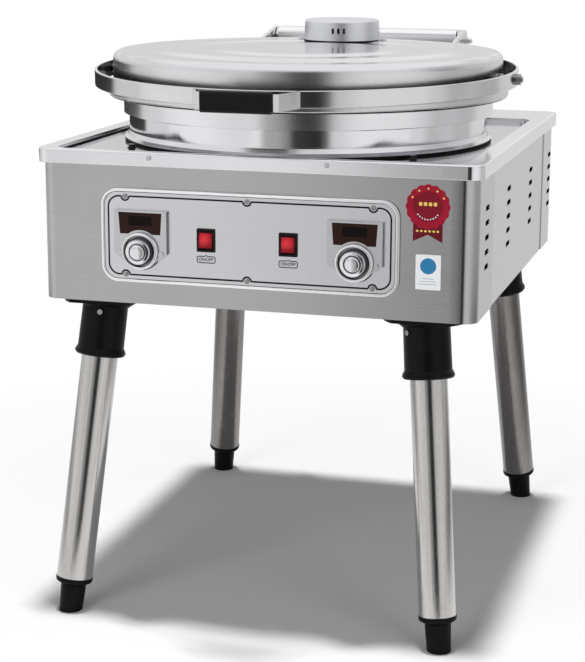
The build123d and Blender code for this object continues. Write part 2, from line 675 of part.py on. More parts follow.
def controller(side):
    """Temperature controller: face housing, collar and the body behind the wall."""
    x = PANEL_X + side * CONTROL_DX
    half = HOUSING_WIDE / 2
    outline = Polyline(
        (-half, HOUSING_UP),
        (half, HOUSING_UP),
        (half, -4),
        (COLLAR_R * 0.8, -COLLAR_R * 0.6),
        (-COLLAR_R * 0.8, -COLLAR_R * 0.6),
        (-half, -4),
        close=True,
    )
    face = make_face(outline) + Circle(COLLAR_R)
    housing = Rot(90, 0, 0) * extrude(face, HOUSING_RAISE)
    lugs = [rod(LUG_R, (dx, 0, -LUG_DROP), (dx, -HOUSING_RAISE - 1.5, -LUG_DROP)) for dx in (-LUG_X, LUG_X)]
    housing += lugs
    collar = rod(COLLAR_R, (0, 0, 0), (0, -COLLAR_HIGH, 0))
    housing += fillet(collar.edges().filter_by(GeomType.CIRCLE).sort_by(Axis.Y)[0], 2.5)
    pocket = Rot(90, 0, 0) * extrude(window_face(), WINDOW_T)
    housing -= Pos(0, -HOUSING_RAISE + WINDOW_T, 0) * pocket
    long = PANEL_RAISE + HOUSING_BACK
    neck = Pos(0, long / 2, NECK_UP) * Box(NECK_WIDE, long, NECK_HIGH)
    shaft_way = rod(KNOB_SHAFT_R + KNOB_RUNNING, (0, -COLLAR_HIGH - 1, 0), (0, KNOB_SHAFT_LONG, 0))
    return Pos(x, PANEL_FACE_Y, KNOB_Z) * (housing + neck - shaft_way)


def display(side):
    """Dark window over the controller's figures."""
    x = PANEL_X + side * CONTROL_DX
    pane = Rot(90, 0, 0) * extrude(window_face(0.15), WINDOW_T)
    return Pos(x, PANEL_FACE_Y - HOUSING_RAISE + WINDOW_T, KNOB_Z) * pane


def knob(side):
    """Turning knob: a grip ring round a raised cap, on a shaft."""
    x = PANEL_X + side * CONTROL_DX
    seat = COLLAR_HIGH + 0.3
    front = seat + KNOB_LONG
    outline = [
        (0, seat),
        (KNOB_R, seat),
        (KNOB_R - 0.8, front - 2),
        (KNOB_R - 3.5, front),
        (KNOB_R - 4.5, front - 0.8),
        (KNOB_R - 5.5, front + 1.2),
        (10.0, front + 2.2),
        (9.4, front + 1.0),
        (8.6, front + 3.0),
        (0, front + 3.6),
    ]
    body = Rot(90, 0, 0) * turned(outline)
    notch = rod(1.1, (KNOB_R + 0.2, -seat - 1.5, 0), (KNOB_R - 0.6, -front, 0))
    body -= [Rot(0, angle, 0) * notch for angle in range(0, 360, 20)]
    shaft = rod(KNOB_SHAFT_R, (0, -seat, 0), (0, KNOB_SHAFT_LONG - 1, 0))
    return Pos(x, PANEL_FACE_Y, KNOB_Z) * (body + shaft)


def switch(side):
    """Rocker switch: bezel, body and a pocket with bearings for the rocker."""
    bezel = rounded_tile(BEZEL_WIDE, BEZEL_HIGH, 1.5, BEZEL_T)
    bezel = chamfer(bezel.faces().sort_by(Axis.Y)[0].edges(), 0.6)
    body = block(
        -SWITCH_BODY_WIDE / 2,
        SWITCH_BODY_WIDE / 2,
        0,
        SWITCH_BACK,
        -SWITCH_BODY_HIGH / 2,
        SWITCH_BODY_HIGH / 2,
    )
    tab = block(-3, 3, SWITCH_BACK, SWITCH_BACK + 8, -0.4, 0.4)
    tabs = [Pos(0, 0, dz) * tab for dz in (-8, 0, 8)]
    wide = ROCKER_WIDE / 2 + ROCKER_GAP
    high = ROCKER_HIGH / 2 + ROCKER_GAP + 0.8
    pocket = block(-wide, wide, -BEZEL_T - 1, ROCKER_DEEP + 3, -high, high)
    reach = wide + ROCKER_PIN_LONG
    bearing = rod(ROCKER_PIN_R + ROCKER_RUNNING, (-reach, ROCKER_PIVOT, 0), (reach, ROCKER_PIVOT, 0))
    place = Pos(PANEL_X + side * SWITCH_DX, PANEL_FACE_Y, SWITCH_Z)
    return place * (bezel + body + tabs - pocket - bearing)


def rocker(side):
    """Two-way rocker, at rest with its upper end pressed in."""
    half = ROCKER_HIGH / 2
    front = BEZEL_T + ROCKER_PIVOT
    outline = Polyline(
        (-front - 1.6, half),
        (-front - 0.4, 0),
        (-front - 1.6, -half),
        (ROCKER_DEEP - ROCKER_PIVOT - 2, -half),
        (ROCKER_DEEP - ROCKER_PIVOT, 0),
        (ROCKER_DEEP - ROCKER_PIVOT - 2, half),
        close=True,
    )
    key = Pos(-ROCKER_WIDE / 2, 0, 0) * side_on(make_face(outline), ROCKER_WIDE)
    reach = ROCKER_WIDE / 2 + ROCKER_GAP + ROCKER_PIN_LONG - 0.2
    key += rod(ROCKER_PIN_R, (-reach, 0, 0), (reach, 0, 0))
    place = Pos(PANEL_X + side * SWITCH_DX, PANEL_FACE_Y + ROCKER_PIVOT, SWITCH_Z)
    return place * Rot(-ROCKER_TILT, 0, 0) * key


# ---- electrics inside the cabinet ----
def electrics_board():
    """Angle bracket that stands on the cabinet's floor."""
    base = CABINET_BOTTOM + BOTTOM_SHEET
    upright = block(-BOARD_WIDE / 2, BOARD_WIDE / 2, BOARD_Y, BOARD_Y + BOARD_T, base, base + BOARD_HIGH)
    foot_plate = block(-BOARD_WIDE / 2, BOARD_WIDE / 2, BOARD_Y, BOARD_Y + BOARD_FOOT, base, base + BOARD_T)
    return upright + foot_plate


def contactors():
    """One contactor for each pan, on the front of the board."""
    low = CABINET_BOTTOM + BOTTOM_SHEET + (BOARD_HIGH - RELAY_HIGH) / 2
    body = block(-RELAY_WIDE / 2, RELAY_WIDE / 2, BOARD_Y - RELAY_DEEP, BOARD_Y, low, low + RELAY_HIGH)
    step = block(-RELAY_WIDE / 2, RELAY_WIDE / 2, BOARD_Y - RELAY_DEEP, BOARD_Y - 45, low, low + 16)
    body -= [step, Pos(0, 0, RELAY_HIGH - 16) * step]
    return [Pos(side * RELAY_DX, 0, 0) * body for side in SIDES.values()]


def terminal_block():
    """Mains terminals, on the cabinet's floor by the inlet."""
    base = CABINET_BOTTOM + BOTTOM_SHEET
    x, y = GLAND_X, REAR_Y - BLOCK_IN
    body = block(x - BLOCK_LONG / 2, x + BLOCK_LONG / 2, y - 14, y + 14, base, base + 22)
    pitch = BLOCK_LONG / BLOCK_WAYS
    for way in range(BLOCK_WAYS):
        centre = x - BLOCK_LONG / 2 + (way + 0.5) * pitch
        body -= rod(3.2, (centre, y, base + 10), (centre, y, base + 23))
    return body


def cable_gland():
    """Screwed inlet for the supply cord, with its lock nut inside the wall."""
    z = CABINET_BOTTOM + GLAND_UP
    inner = REAR_Y - CABINET_SHEET
    head = hexagon(2 * GLAND_HEAD_R, (GLAND_X, REAR_Y, z), (GLAND_X, REAR_Y + 7, z))
    dome = rod(GLAND_HEAD_R - 2, (GLAND_X, REAR_Y + 7, z), (GLAND_X, REAR_Y + GLAND_OUT, z))
    dome = fillet(dome.edges().filter_by(GeomType.CIRCLE).sort_by(Axis.Y)[-1], 4)
    thread = rod(GLAND_HOLE_R - 0.1, (GLAND_X, inner - GLAND_IN, z), (GLAND_X, REAR_Y, z))
    nut = hexagon(2 * GLAND_HEAD_R, (GLAND_X, inner - 5, z), (GLAND_X, inner, z))
    way = rod(GLAND_BORE_R, (GLAND_X, inner - GLAND_IN - 1, z), (GLAND_X, REAR_Y + GLAND_OUT + 1, z))
    return head + dome + thread + nut - way


# ---- lower pan ----
def on_pan(shape):
    """Stand a turned piece on the pan's axis, heights counted from the deck's rim."""
    return Pos(0, PAN_Y, DECK_TOP) * shape


def lower_pan_casing():
    """Stepped stainless surround with a flared foot, standing in the tray."""
    inner = CASING_R - CASING_SHEET
    upper_inner = CASING_UPPER_R - CASING_SHEET
    lip = CASING_FLARE_Z
    outline = [
        (CASING_FLARE_R, lip),
        (CASING_R + 2.5, lip + 3),
        (CASING_R, lip + 9),
        (CASING_R, CASING_STEP_Z - 1),
        (CASING_UPPER_R, CASING_STEP_Z + 1),
        (CASING_UPPER_R, CASING_TOP_Z),
        (upper_inner, CASING_TOP_Z),
        (upper_inner, CASING_STEP_Z + 2),
        (inner, CASING_STEP_Z),
        (inner, -TRAY_DEEP),
        (CASING_R, -TRAY_DEEP),
        (CASING_R, lip + 1),
        (CASING_FLARE_R - 0.8, lip - CASING_SHEET),
    ]
    return on_pan(turned(outline))


def lower_plate():
    """Cast baking plate: a shallow dish with a thick rim that hangs on the casing."""
    seat_r = CASING_UPPER_R - CASING_SHEET - PLATE_FIT
    under = PLATE_FLOOR_Z - PLATE_T
    outline = [
        (0, PLATE_FLOOR_Z),
        (PLATE_FLOOR_R, PLATE_FLOOR_Z),
        (PLATE_RIM_R - 15, PLATE_RIM_Z),
        (PLATE_RIM_R, PLATE_RIM_Z),
        (PLATE_RIM_R, CASING_TOP_Z),
        (seat_r, CASING_TOP_Z),
        (seat_r, under),
        (0, under),
    ]
    return on_pan(turned(outline, ((1, 12.0), (2, 4.0), (3, 5.0), (4, 5.0), (6, 3.0))))


def element_ring(radius, pin_reach):
    """A round heater, open where its two ends turn off to the terminals."""
    half = degrees(asin(ELEMENT_PIN_DX / radius))
    bar = revolve(Pos(radius, 0) * Circle(ELEMENT_TUBE_R), Axis.Y, 360 - 2 * half)
    ring = Rot(0, 0, 90 + half) * Rot(90, 0, 0) * bar
    y = sqrt(radius**2 - ELEMENT_PIN_DX**2)
    back = -copysign(ELEMENT_TUBE_R - 0.5, pin_reach)
    collar_end = copysign(ELEMENT_COLLAR_LONG, pin_reach)
    for x in (-ELEMENT_PIN_DX, ELEMENT_PIN_DX):
        ring += rod(ELEMENT_COLLAR_R, (x, y, back), (x, y, collar_end))
        ring += rod(ELEMENT_PIN_R, (x, y, 0), (x, y, pin_reach))
    return ring


def element_rings(z, pin_reach):
    """Three ring heaters on the Z axis, each with two terminal pins."""
    outer = PLATE_FLOOR_R - ELEMENT_EDGE
    radii = [outer - index * ELEMENT_PITCH for index in range(ELEMENT_RINGS)]
    return [Pos(0, 0, z) * element_ring(radius, pin_reach) for radius in radii]


def lower_element():
    """The heaters against the underside of the lower plate."""
    z = PLATE_FLOOR_Z - PLATE_T - ELEMENT_TUBE_R
    return [on_pan(ring) for ring in element_rings(z, -ELEMENT_PIN_LONG)]


def upper_element():
    """The heaters on the back of the upper plate."""
    z = UPPER_FACE_Z + UPPER_PLATE_T + ELEMENT_TUBE_R
    return [on_lid(ring) for ring in element_rings(z, ELEMENT_PIN_LONG)]


def lower_heat_shield():
    """Pan of sheet below the heaters, hung in the deck's hole by its flange."""
    low = -TRAY_DEEP - SHIELD_DEEP
    outline = [
        (0, low + SHIELD_SHEET),
        (SHIELD_R - SHIELD_SHEET, low + SHIELD_SHEET),
        (DECK_HOLE_R - 2, SHIELD_SHEET - TRAY_DEEP),
        (CASING_R - CASING_SHEET - 1, SHIELD_SHEET - TRAY_DEEP),
        (CASING_R - CASING_SHEET - 1, -TRAY_DEEP),
        (DECK_HOLE_R - 1, -TRAY_DEEP),
        (SHIELD_R, low),
        (0, low),
    ]
    return on_pan(turned(outline))


# ---- hinge ----
def hinge_brackets():
    """Two bearing ears that stand on the deck."""
    pieces = []
    for side in SIDES.values():
        x0, x1 = sorted((side * HINGE_EAR_X, side * (HINGE_EAR_X + HINGE_EAR_T)))
        ear = block(x0, x1, HINGE_Y - HINGE_EAR_R, HINGE_Y + HINGE_EAR_R, DECK_TOP, HINGE_AXIS_Z)
        ear += rod(HINGE_EAR_R, (x0, HINGE_Y, HINGE_AXIS_Z), (x1, HINGE_Y, HINGE_AXIS_Z))
        ear -= rod(SHAFT_R + SHAFT_RUNNING, (x0 - 1, HINGE_Y, HINGE_AXIS_Z), (x1 + 1, HINGE_Y, HINGE_AXIS_Z))
        pieces.append(ear)
    return pieces


def hinge_cover():
    """Folded sheet hood between the ears, open at its foot and ends."""
    top = HINGE_AXIS_Z + HINGE_EAR_R
    half = HINGE_EAR_X
    deep = COVER_HALF_DEEP
    shell = block(-half, half, HINGE_Y - deep, HINGE_Y + deep, DECK_TOP, top)
    shell = fillet(shell.faces().sort_by(Axis.Z)[-1].edges().filter_by(Axis.X), COVER_CORNER)
    deep -= COVER_SHEET
    inside = block(-half, half, HINGE_Y - deep, HINGE_Y + deep, DECK_TOP, top - COVER_SHEET)
    inside = fillet(inside.faces().sort_by(Axis.Z)[-1].edges().filter_by(Axis.X), COVER_CORNER - COVER_SHEET)
    return shell - inside


def hinge_shaft():
    """Shaft that turns with the arms, necked for the nuts."""
    end = ARM_X + ARM_T
    shaft = rod(SHAFT_R, (-end, 0, 0), (end, 0, 0))
    shaft += rod(SHAFT_NECK_R, (-end - NUT_LONG + 4, 0, 0), (end + NUT_LONG - 4, 0, 0))
    return Pos(0, HINGE_Y, HINGE_AXIS_Z) * shaft


def hinge_springs():
    """Two counterbalance springs round the shaft."""
    radius = SHAFT_R + SPRING_GAP + SPRING_WIRE_R
    long = SPRING_PITCH * SPRING_TURNS
    path = Helix(SPRING_PITCH, long, radius)
    coil = sweep(Plane(origin=path @ 0, z_dir=path % 0) * Circle(SPRING_WIRE_R), path)
    lying = Pos(0, HINGE_Y, HINGE_AXIS_Z) * Rot(0, 90, 0) * coil
    start = -HINGE_EAR_X + SPRING_END
    return [Pos(start, 0, 0) * lying, Pos(-start - long, 0, 0) * lying]


def hinge_nuts():
    """Domed nuts on the shaft's ends."""
    pieces = []
    start = ARM_X + ARM_T
    for side in SIDES.values():
        nut = hexagon(NUT_FLATS, (0, 0, 0), (6, 0, 0))
        dome = rod(NUT_FLATS / 2 - 0.4, (6, 0, 0), (NUT_LONG, 0, 0))
        nut += fillet(dome.edges().filter_by(GeomType.CIRCLE).sort_by(Axis.X)[-1], 3.5)
        nut -= rod(SHAFT_NECK_R + 0.1, (-1, 0, 0), (NUT_LONG - 3.8, 0, 0))
        turn = 0 if side > 0 else 180
        pieces.append(Pos(side * start, HINGE_Y, HINGE_AXIS_Z) * Rot(0, 0, turn) * nut)
    return pieces


# ---- hoop and handle ----
def in_hoop(shape):
    """Place a piece drawn about the hoop's middle, with the hoop flat."""
    return Pos(0, HOOP_Y, HOOP_AXIS_Z) * Rot(HOOP_TILT, 0, 0) * shape


def hoop_disc(radius):
    """A tall solid disc as wide as the hoop, used to seat what meets its outside."""
    return Cylinder(radius, 8 * HOOP_BAND)


def hoop():
    """Flat-bar ring with a hole for the pivot on each side."""
    outside = Cylinder(HOOP_R, HOOP_BAND)
    outside = fillet(outside.edges().filter_by(GeomType.CIRCLE), 1.2)
    ring = outside - Cylinder(HOOP_R - HOOP_T, HOOP_BAND + 2)
    ring -= rod(PIVOT_R + PIVOT_RUNNING, (-HOOP_R - 5, 0, 0), (HOOP_R + 5, 0, 0))
    return in_hoop(ring)


def hoop_arms():
    """A flat arm on each side, from the back of the hoop to the shaft."""
    front_y = HOOP_Y + sqrt(HOOP_R**2 - (ARM_X + ARM_T) ** 2) - 20
    front_z = HOOP_AXIS_Z + (front_y + 20 - HOOP_Y) * tan(radians(HOOP_TILT))
    half = HOOP_BAND / 2
    outline = Polyline(
        (front_y, front_z - half),
        (front_y, front_z + half),
        (HINGE_Y, HINGE_AXIS_Z + HINGE_EAR_R),
        (HINGE_Y, HINGE_AXIS_Z - HINGE_EAR_R),
        close=True,
    )
    pieces = []
    for side in SIDES.values():
        x0, x1 = sorted((side * ARM_X, side * (ARM_X + ARM_T)))
        arm = Pos(x0, 0, 0) * side_on(make_face(outline), ARM_T)
        arm += rod(HINGE_EAR_R, (x0, HINGE_Y, HINGE_AXIS_Z), (x1, HINGE_Y, HINGE_AXIS_Z))
        arm -= rod(SHAFT_R + 0.1, (x0 - 1, HINGE_Y, HINGE_AXIS_Z), (x1 + 1, HINGE_Y, HINGE_AXIS_Z))
        pieces.append(arm - in_hoop(hoop_disc(HOOP_R)))
    return pieces


def strap_bar():
    """The strap before its feet are cut to the hoop."""
    face_y = -HOOP_R - HANDLE_OUT
    inner_y = face_y + STRAP_T
    slant = STRAP_T * 1.1
    outline = Polyline(
        (-HANDLE_FOOT_X - 3, -HOOP_R + 30),
        (-HANDLE_FOOT_X, -HOOP_R + 8),
        (-HANDLE_BEND_X, face_y),
        (HANDLE_BEND_X, face_y),
        (HANDLE_FOOT_X, -HOOP_R + 8),
        (HANDLE_FOOT_X + 3, -HOOP_R + 30),
        (HANDLE_FOOT_X + 3 - slant, -HOOP_R + 30),
        (HANDLE_FOOT_X - slant, -HOOP_R + 8),
        (HANDLE_BEND_X - slant, inner_y),
        (-HANDLE_BEND_X + slant, inner_y),
        (-HANDLE_FOOT_X + slant, -HOOP_R + 8),
        (-HANDLE_FOOT_X - 3 + slant, -HOOP_R + 30),
        close=True,
    )
    return extrude(make_face(outline), HOOP_BAND / 2, both=True)


def handle_strap():
    """Bent flat bar welded to the front of the hoop."""
    return in_hoop(strap_bar() - hoop_disc(HOOP_R))


def handle_grip():
    """Moulded grip on the strap, grooved along its front."""
    middle = -HOOP_R - HANDLE_OUT + STRAP_T / 2
    grip = Pos(0, middle, 0) * Box(2 * GRIP_HALF_LONG, GRIP_T, GRIP_HIGH)
    grip = fillet(grip.edges().filter_by(Axis.X), 4.5)
    front = middle - GRIP_T / 2
    pitch = (GRIP_HIGH - 8) / GRIP_GROOVES
    for line in range(GRIP_GROOVES):
        z = (line - (GRIP_GROOVES - 1) / 2) * pitch
        groove = Box(2 * GRIP_HALF_LONG - 6, 2 * GRIP_GROOVE_DEEP, 1.4)
        grip -= Pos(0, front, z) * groove
    return in_hoop(grip - strap_bar())


def pivot_bolts():
    """The bolts on which the upper pan tips in the hoop, with their nuts."""
    pieces = []
    head = pivot_head_x()
    hoop_inner = HOOP_R - HOOP_T
    end = HOOP_R + PIVOT_OUT
    flats = 2 * PIVOT_NUT_R
    for side in SIDES.values():
        bolt = rod(PIVOT_R, (head, 0, 0), (end, 0, 0))
        bolt += rod(PIVOT_HEAD_R, (head - PIVOT_HEAD_T, 0, 0), (head, 0, 0))
        bolt += hexagon(flats, (LID_R + 0.6, 0, 0), (LID_R + 6, 0, 0))
        bolt += hexagon(flats, (hoop_inner - 6.5, 0, 0), (hoop_inner - 0.6, 0, 0))
        bolt += rod(PIVOT_NUT_R + 1, (HOOP_R + 0.4, 0, 0), (HOOP_R + 1.6, 0, 0))
        bolt += hexagon(flats, (HOOP_R + 1.6, 0, 0), (HOOP_R + 7.2, 0, 0))
        turn = 0 if side > 0 else 180
        pieces.append(Pos(0, HOOP_Y, HOOP_AXIS_Z) * Rot(0, 0, turn) * bolt)
    return pieces


# ---- upper pan ----
def on_lid(shape):
    """Stand a turned piece on the lid's axis, heights counted from the deck's rim."""
    return Pos(0, LID_Y, DECK_TOP) * shape


def pivot_head_x():
    """Where the flat outer face of a pivot bolt's head meets the inside of the skirt."""
    off = abs(HOOP_Y - LID_Y) + PIVOT_HEAD_R
    return sqrt((LID_R - LID_SHEET) ** 2 - off**2) - 0.1


def crown_height(radius):
    """The height of the lid's crown, which dips twice between its flat middle and its edge."""
    edge_r = LID_R - LID_SHOULDER_R
    height = LID_TOP_Z - LID_EDGE_DROP * (radius / edge_r) ** 4
    if radius > LID_FLAT_R:
        height -= LID_RIPPLE * (1 - cos(2 * pi * (radius - LID_FLAT_R) / LID_RIPPLE_PITCH)) / 2
    return height


def lid_line(depth):
    """The lid's surface from the hem to the middle, a depth below its outside."""
    edge_r = LID_R - LID_SHOULDER_R
    edge_z = crown_height(edge_r)
    bend = LID_SHOULDER_R - depth
    shoulder_z = edge_z - LID_SHOULDER_R
    skirt = Line((LID_R - depth, LID_BOTTOM_Z), (LID_R - depth, shoulder_z))
    shoulder = CenterArc((edge_r, shoulder_z), bend, 0, 90)
    steps = 24
    radii = [edge_r * (1 - step / steps) for step in range(steps + 1)]
    crown = Spline(*[(radius, crown_height(radius) - depth) for radius in radii], tangents=((-1, 0), (-1, 0)))
    return skirt, shoulder, crown


def lid_solid(depth=0.0):
    """The lid filled in, to a depth below its outside."""
    skirt, shoulder, crown = lid_line(depth)
    sides = Polyline(crown @ 1, (0, LID_BOTTOM_Z), skirt @ 0)
    return Rot(90, 0, 0) * revolve(make_face([skirt, shoulder, crown, sides]), Axis.Y)


def lid_cover():
    """Spun stainless cover with a rippled crown, its skirt hemmed inwards."""
    hem = turned([
        (LID_R - LID_HEM, LID_BOTTOM_Z),
        (LID_R - LID_SHEET / 2, LID_BOTTOM_Z),
        (LID_R - LID_SHEET / 2, LID_BOTTOM_Z + LID_SHEET),
        (LID_R - LID_HEM, LID_BOTTOM_Z + LID_SHEET),
    ])
    cover = on_lid(lid_solid() - lid_solid(LID_SHEET) + hem)
    axis = Pos(0, HOOP_Y, HOOP_AXIS_Z)
    return cover - axis * rod(PIVOT_R + 0.1, (-LID_R - 5, 0, 0), (LID_R + 5, 0, 0))


def upper_plate():
    """Cast upper plate, whose flange lies on the cover's hem."""
    flange_z = LID_BOTTOM_Z + LID_SHEET
    flange_r = LID_R - LID_SHEET - UPPER_FLANGE_GAP
    top = UPPER_FACE_Z + UPPER_PLATE_T
    outline = [
        (0, UPPER_FACE_Z),
        (UPPER_PLATE_R - 2, UPPER_FACE_Z),
        (UPPER_PLATE_R + 2, flange_z),
        (flange_r, flange_z),
        (flange_r, flange_z + UPPER_FLANGE_T),
        (UPPER_PLATE_R - 2, flange_z + UPPER_FLANGE_T),
        (UPPER_PLATE_R - 8, top),
        (0, top),
    ]
    plate = on_lid(turned(outline, ((1, 6.0),)))
    for side in SIDES.values():
        x0, x1 = sorted((side * (LID_R - LID_HEM), side * LID_R))
        reach = PIVOT_HEAD_R + 2
        plate -= block(x0, x1, HOOP_Y - reach, HOOP_Y + reach, DECK_TOP + flange_z, DECK_TOP + top + 10)
    return plate


def cap_frame():
    """The vented cap's own axis on the lid."""
    return Pos(0, CAP_Y, DECK_TOP)


def lid_cap():
    """Vented cover over the upper heaters' terminals, with two screw tabs."""
    foot_z = LID_TOP_Z - 6
    outline = [(0, foot_z), (CAP_R, foot_z), (CAP_TOP_R, CAP_TOP_Z), (0, CAP_TOP_Z)]
    inner = [
        (0, foot_z - 1),
        (CAP_R - CAP_SHEET, foot_z - 1),
        (CAP_TOP_R - CAP_SHEET, CAP_TOP_Z - CAP_SHEET),
        (0, CAP_TOP_Z - CAP_SHEET),
    ]
    cap = turned(outline, ((2, CAP_ROUND),)) - turned(inner, ((2, CAP_ROUND - CAP_SHEET),))
    slot_z = (LID_TOP_Z + CAP_TOP_Z) / 2
    slot = Pos(0, -CAP_R, slot_z) * Box(CAP_SLOT_WIDE, 12, CAP_SLOT_HIGH)
    for middle in (CAP_SLOT_ANGLE, 180 - CAP_SLOT_ANGLE):
        cap -= [Rot(0, 0, middle + step * CAP_SLOT_ANGLE) * slot for step in (-1, 0, 1)]
    reach = CAP_R + CAP_TAB_LONG
    tab = block(CAP_TOP_R, reach, -CAP_TAB_WIDE / 2, CAP_TAB_WIDE / 2, foot_z, cap_tab_top())
    tab = fillet(tab.edges().filter_by(Axis.Z).sort_by(Axis.X)[-2:], 5)
    tab -= rod(SCREW_SHANK_R, (cap_screw_x(), 0, foot_z - 1), (cap_screw_x(), 0, CAP_TOP_Z))
    cap += [Rot(0, 0, turn) * tab for turn in (0, 180)]
    return cap_frame() * cap - on_lid(lid_solid(-CAP_SEAT))


def cap_screw_x():
    """The tab screws' distance from the cap's axis."""
    return CAP_R + CAP_TAB_LONG / 2 + 0.5


def cap_tab_top():
    """Upper face of the cap's tabs: a sheet above the highest point of the lid below them."""
    return LID_TOP_Z + CAP_SEAT + CAP_SHEET


def cap_screws():
    """The two screws through the cap's tabs."""
    pieces = []
    for side in SIDES.values():
        head = rod(SCREW_HEAD_R, (0, 0, 0), (0, 0, SCREW_HEAD_T))
        head = fillet(head.edges().filter_by(GeomType.CIRCLE).sort_by(Axis.Z)[-1], SCREW_HEAD_T * 0.7)
        slot = Pos(0, 0, SCREW_HEAD_T) * Box(SCREW_HEAD_R * 1.3, 0.9, 1.2)
        bolt = head - slot - Rot(0, 0, 90) * slot + rod(SCREW_SHANK_R - 0.2, (0, 0, -1), (0, 0, 0))
        pieces.append(cap_frame() * Pos(side * cap_screw_x(), 0, cap_tab_top()) * bolt)
    return pieces


# ---- the whole part ----
def all_pieces():
    """Every node's name and its solid or solids."""
    pieces = {
        "cabinet_front": front_wrap(),
        "cabinet_rear": rear_wrap(),
        "bottom_plate": bottom_plate(),
        "deck": deck(),
        "deck_screws": deck_screws(),
        "leg_brackets": leg_brackets(),
        "socket_screws": socket_screws(),
        "control_plate": control_plate(),
        "panel_screws": panel_screws(),
        "electrics_board": electrics_board(),
        "contactors": contactors(),
        "terminal_block": terminal_block(),
        "cable_gland": cable_gland(),
        "lower_pan_casing": lower_pan_casing(),
        "lower_plate": lower_plate(),
        "lower_element": lower_element(),
        "lower_heat_shield": lower_heat_shield(),
        "hinge_brackets": hinge_brackets(),
        "hinge_cover": hinge_cover(),
        "hinge_shaft": hinge_shaft(),
        "hinge_springs": hinge_springs(),
        "hinge_nuts": hinge_nuts(),
        "hoop": hoop(),
        "hoop_arms": hoop_arms(),
        "handle_strap": handle_strap(),
        "handle_grip": handle_grip(),
        "pivot_bolts": pivot_bolts(),
        "lid_cover": lid_cover(),
        "upper_plate": upper_plate(),
        "upper_element": upper_element(),
        "lid_cap": lid_cap(),
        "cap_screws": cap_screws(),
    }
    for name, side in SIDES.items():
        pieces[f"cabinet_side_{name}"] = side_panel(side)
        pieces[f"controller_{name}"] = controller(side)
        pieces[f"display_{name}"] = display(side)
        pieces[f"knob_{name}"] = knob(side)
        pieces[f"switch_{name}"] = switch(side)
        pieces[f"rocker_{name}"] = rocker(side)
    for corner in CORNERS:
        pieces[f"leg_socket_{corner}"] = leg_socket(corner)
        pieces[f"leg_tube_{corner}"] = leg_tube(corner)
        pieces[f"leg_plug_{corner}"] = leg_plug(corner)
        pieces[f"foot_{corner}"] = foot(corner)
    return pieces


def as_solids(shape):
    """The separate solids of a piece or a list of pieces."""
    if isinstance(shape, (list, tuple)):
        return [solid for one in shape for solid in one.solids()]
    return list(shape.solids())


def main():
    os.makedirs("parts", exist_ok=True)
    pieces = {name: as_solids(shape) for name, shape in all_pieces().items()}
    whole = Compound([solid for solids in pieces.values() for solid in solids])
    box = whole.bounding_box(optimal=True)
    shift = Pos(0, -(box.min.Y + box.max.Y) / 2, 0)
    print("shift along y:", round(-(box.min.Y + box.max.Y) / 2, 4))
    print("size:", box.size)
    for name, solids in pieces.items():
        moved = [shift * solid for solid in solids]
        export_step(moved[0] if len(moved) == 1 else Compound(moved), f"parts/{name}.step")


main()
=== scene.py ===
import math

import bmesh
import bpy
from mathutils import Matrix, Vector


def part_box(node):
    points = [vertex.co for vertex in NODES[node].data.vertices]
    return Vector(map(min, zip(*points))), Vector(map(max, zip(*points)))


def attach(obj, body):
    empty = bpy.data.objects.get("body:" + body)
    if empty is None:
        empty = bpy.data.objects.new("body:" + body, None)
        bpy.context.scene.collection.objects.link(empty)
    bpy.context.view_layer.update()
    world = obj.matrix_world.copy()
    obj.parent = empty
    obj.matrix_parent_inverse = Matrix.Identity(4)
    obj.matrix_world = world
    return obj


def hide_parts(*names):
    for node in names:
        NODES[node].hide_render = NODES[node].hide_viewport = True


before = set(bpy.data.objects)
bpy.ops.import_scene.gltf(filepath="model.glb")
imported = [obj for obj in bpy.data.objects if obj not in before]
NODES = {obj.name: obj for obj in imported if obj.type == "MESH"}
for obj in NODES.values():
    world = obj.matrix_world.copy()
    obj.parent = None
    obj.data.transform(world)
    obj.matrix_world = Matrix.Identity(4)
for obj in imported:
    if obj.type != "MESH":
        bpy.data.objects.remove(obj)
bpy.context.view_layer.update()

# The deck's middle along Y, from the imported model: the drawing's own zero.
deck_lo, deck_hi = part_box("deck")
Y0 = (deck_lo[1] + deck_hi[1]) / 2
DECK_TOP = deck_hi[2]
deck_z = DECK_TOP * 1000


def at(x, y, z):
    """Millimetres about the deck's middle, height from the floor, to metres in the frame."""
    return Vector((x / 1000, y / 1000 + Y0, z / 1000))


# ---------------------------------------------------------------- materials
def new_material(name):
    material = bpy.data.materials.new(name)
    material.use_nodes = True
    tree = material.node_tree
    tree.nodes.clear()
    out = tree.nodes.new("ShaderNodeOutputMaterial")
    bsdf = tree.nodes.new("ShaderNodeBsdfPrincipled")
    tree.links.new(bsdf.outputs[0], out.inputs["Surface"])
    return material, tree, bsdf


def math_node(tree, operation, first, second=None):
    node = tree.nodes.new("ShaderNodeMath")
    node.operation = operation
    for index, value in enumerate((first, second)):
        if value is None:
            continue
        if isinstance(value, (int, float)):
            node.inputs[index].default_value = value
        else:
            tree.links.new(value, node.inputs[index])
    return node.outputs[0]


def object_coords(tree):
    return tree.nodes.new("ShaderNodeTexCoord").outputs["Object"]


def stretched(tree, vector, scale):
    node = tree.nodes.new("ShaderNodeMapping")
    node.inputs["Scale"].default_value = scale
    tree.links.new(vector, node.inputs["Vector"])
    return node.outputs[0]


def noise(tree, vector, scale, detail=4.0, rough=0.55):
    node = tree.nodes.new("ShaderNodeTexNoise")
    node.inputs["Scale"].default_value = scale
    node.inputs["Detail"].default_value = detail
    node.inputs["Roughness"].default_value = rough
    tree.links.new(vector, node.inputs["Vector"])
    return node.outputs["Fac"]


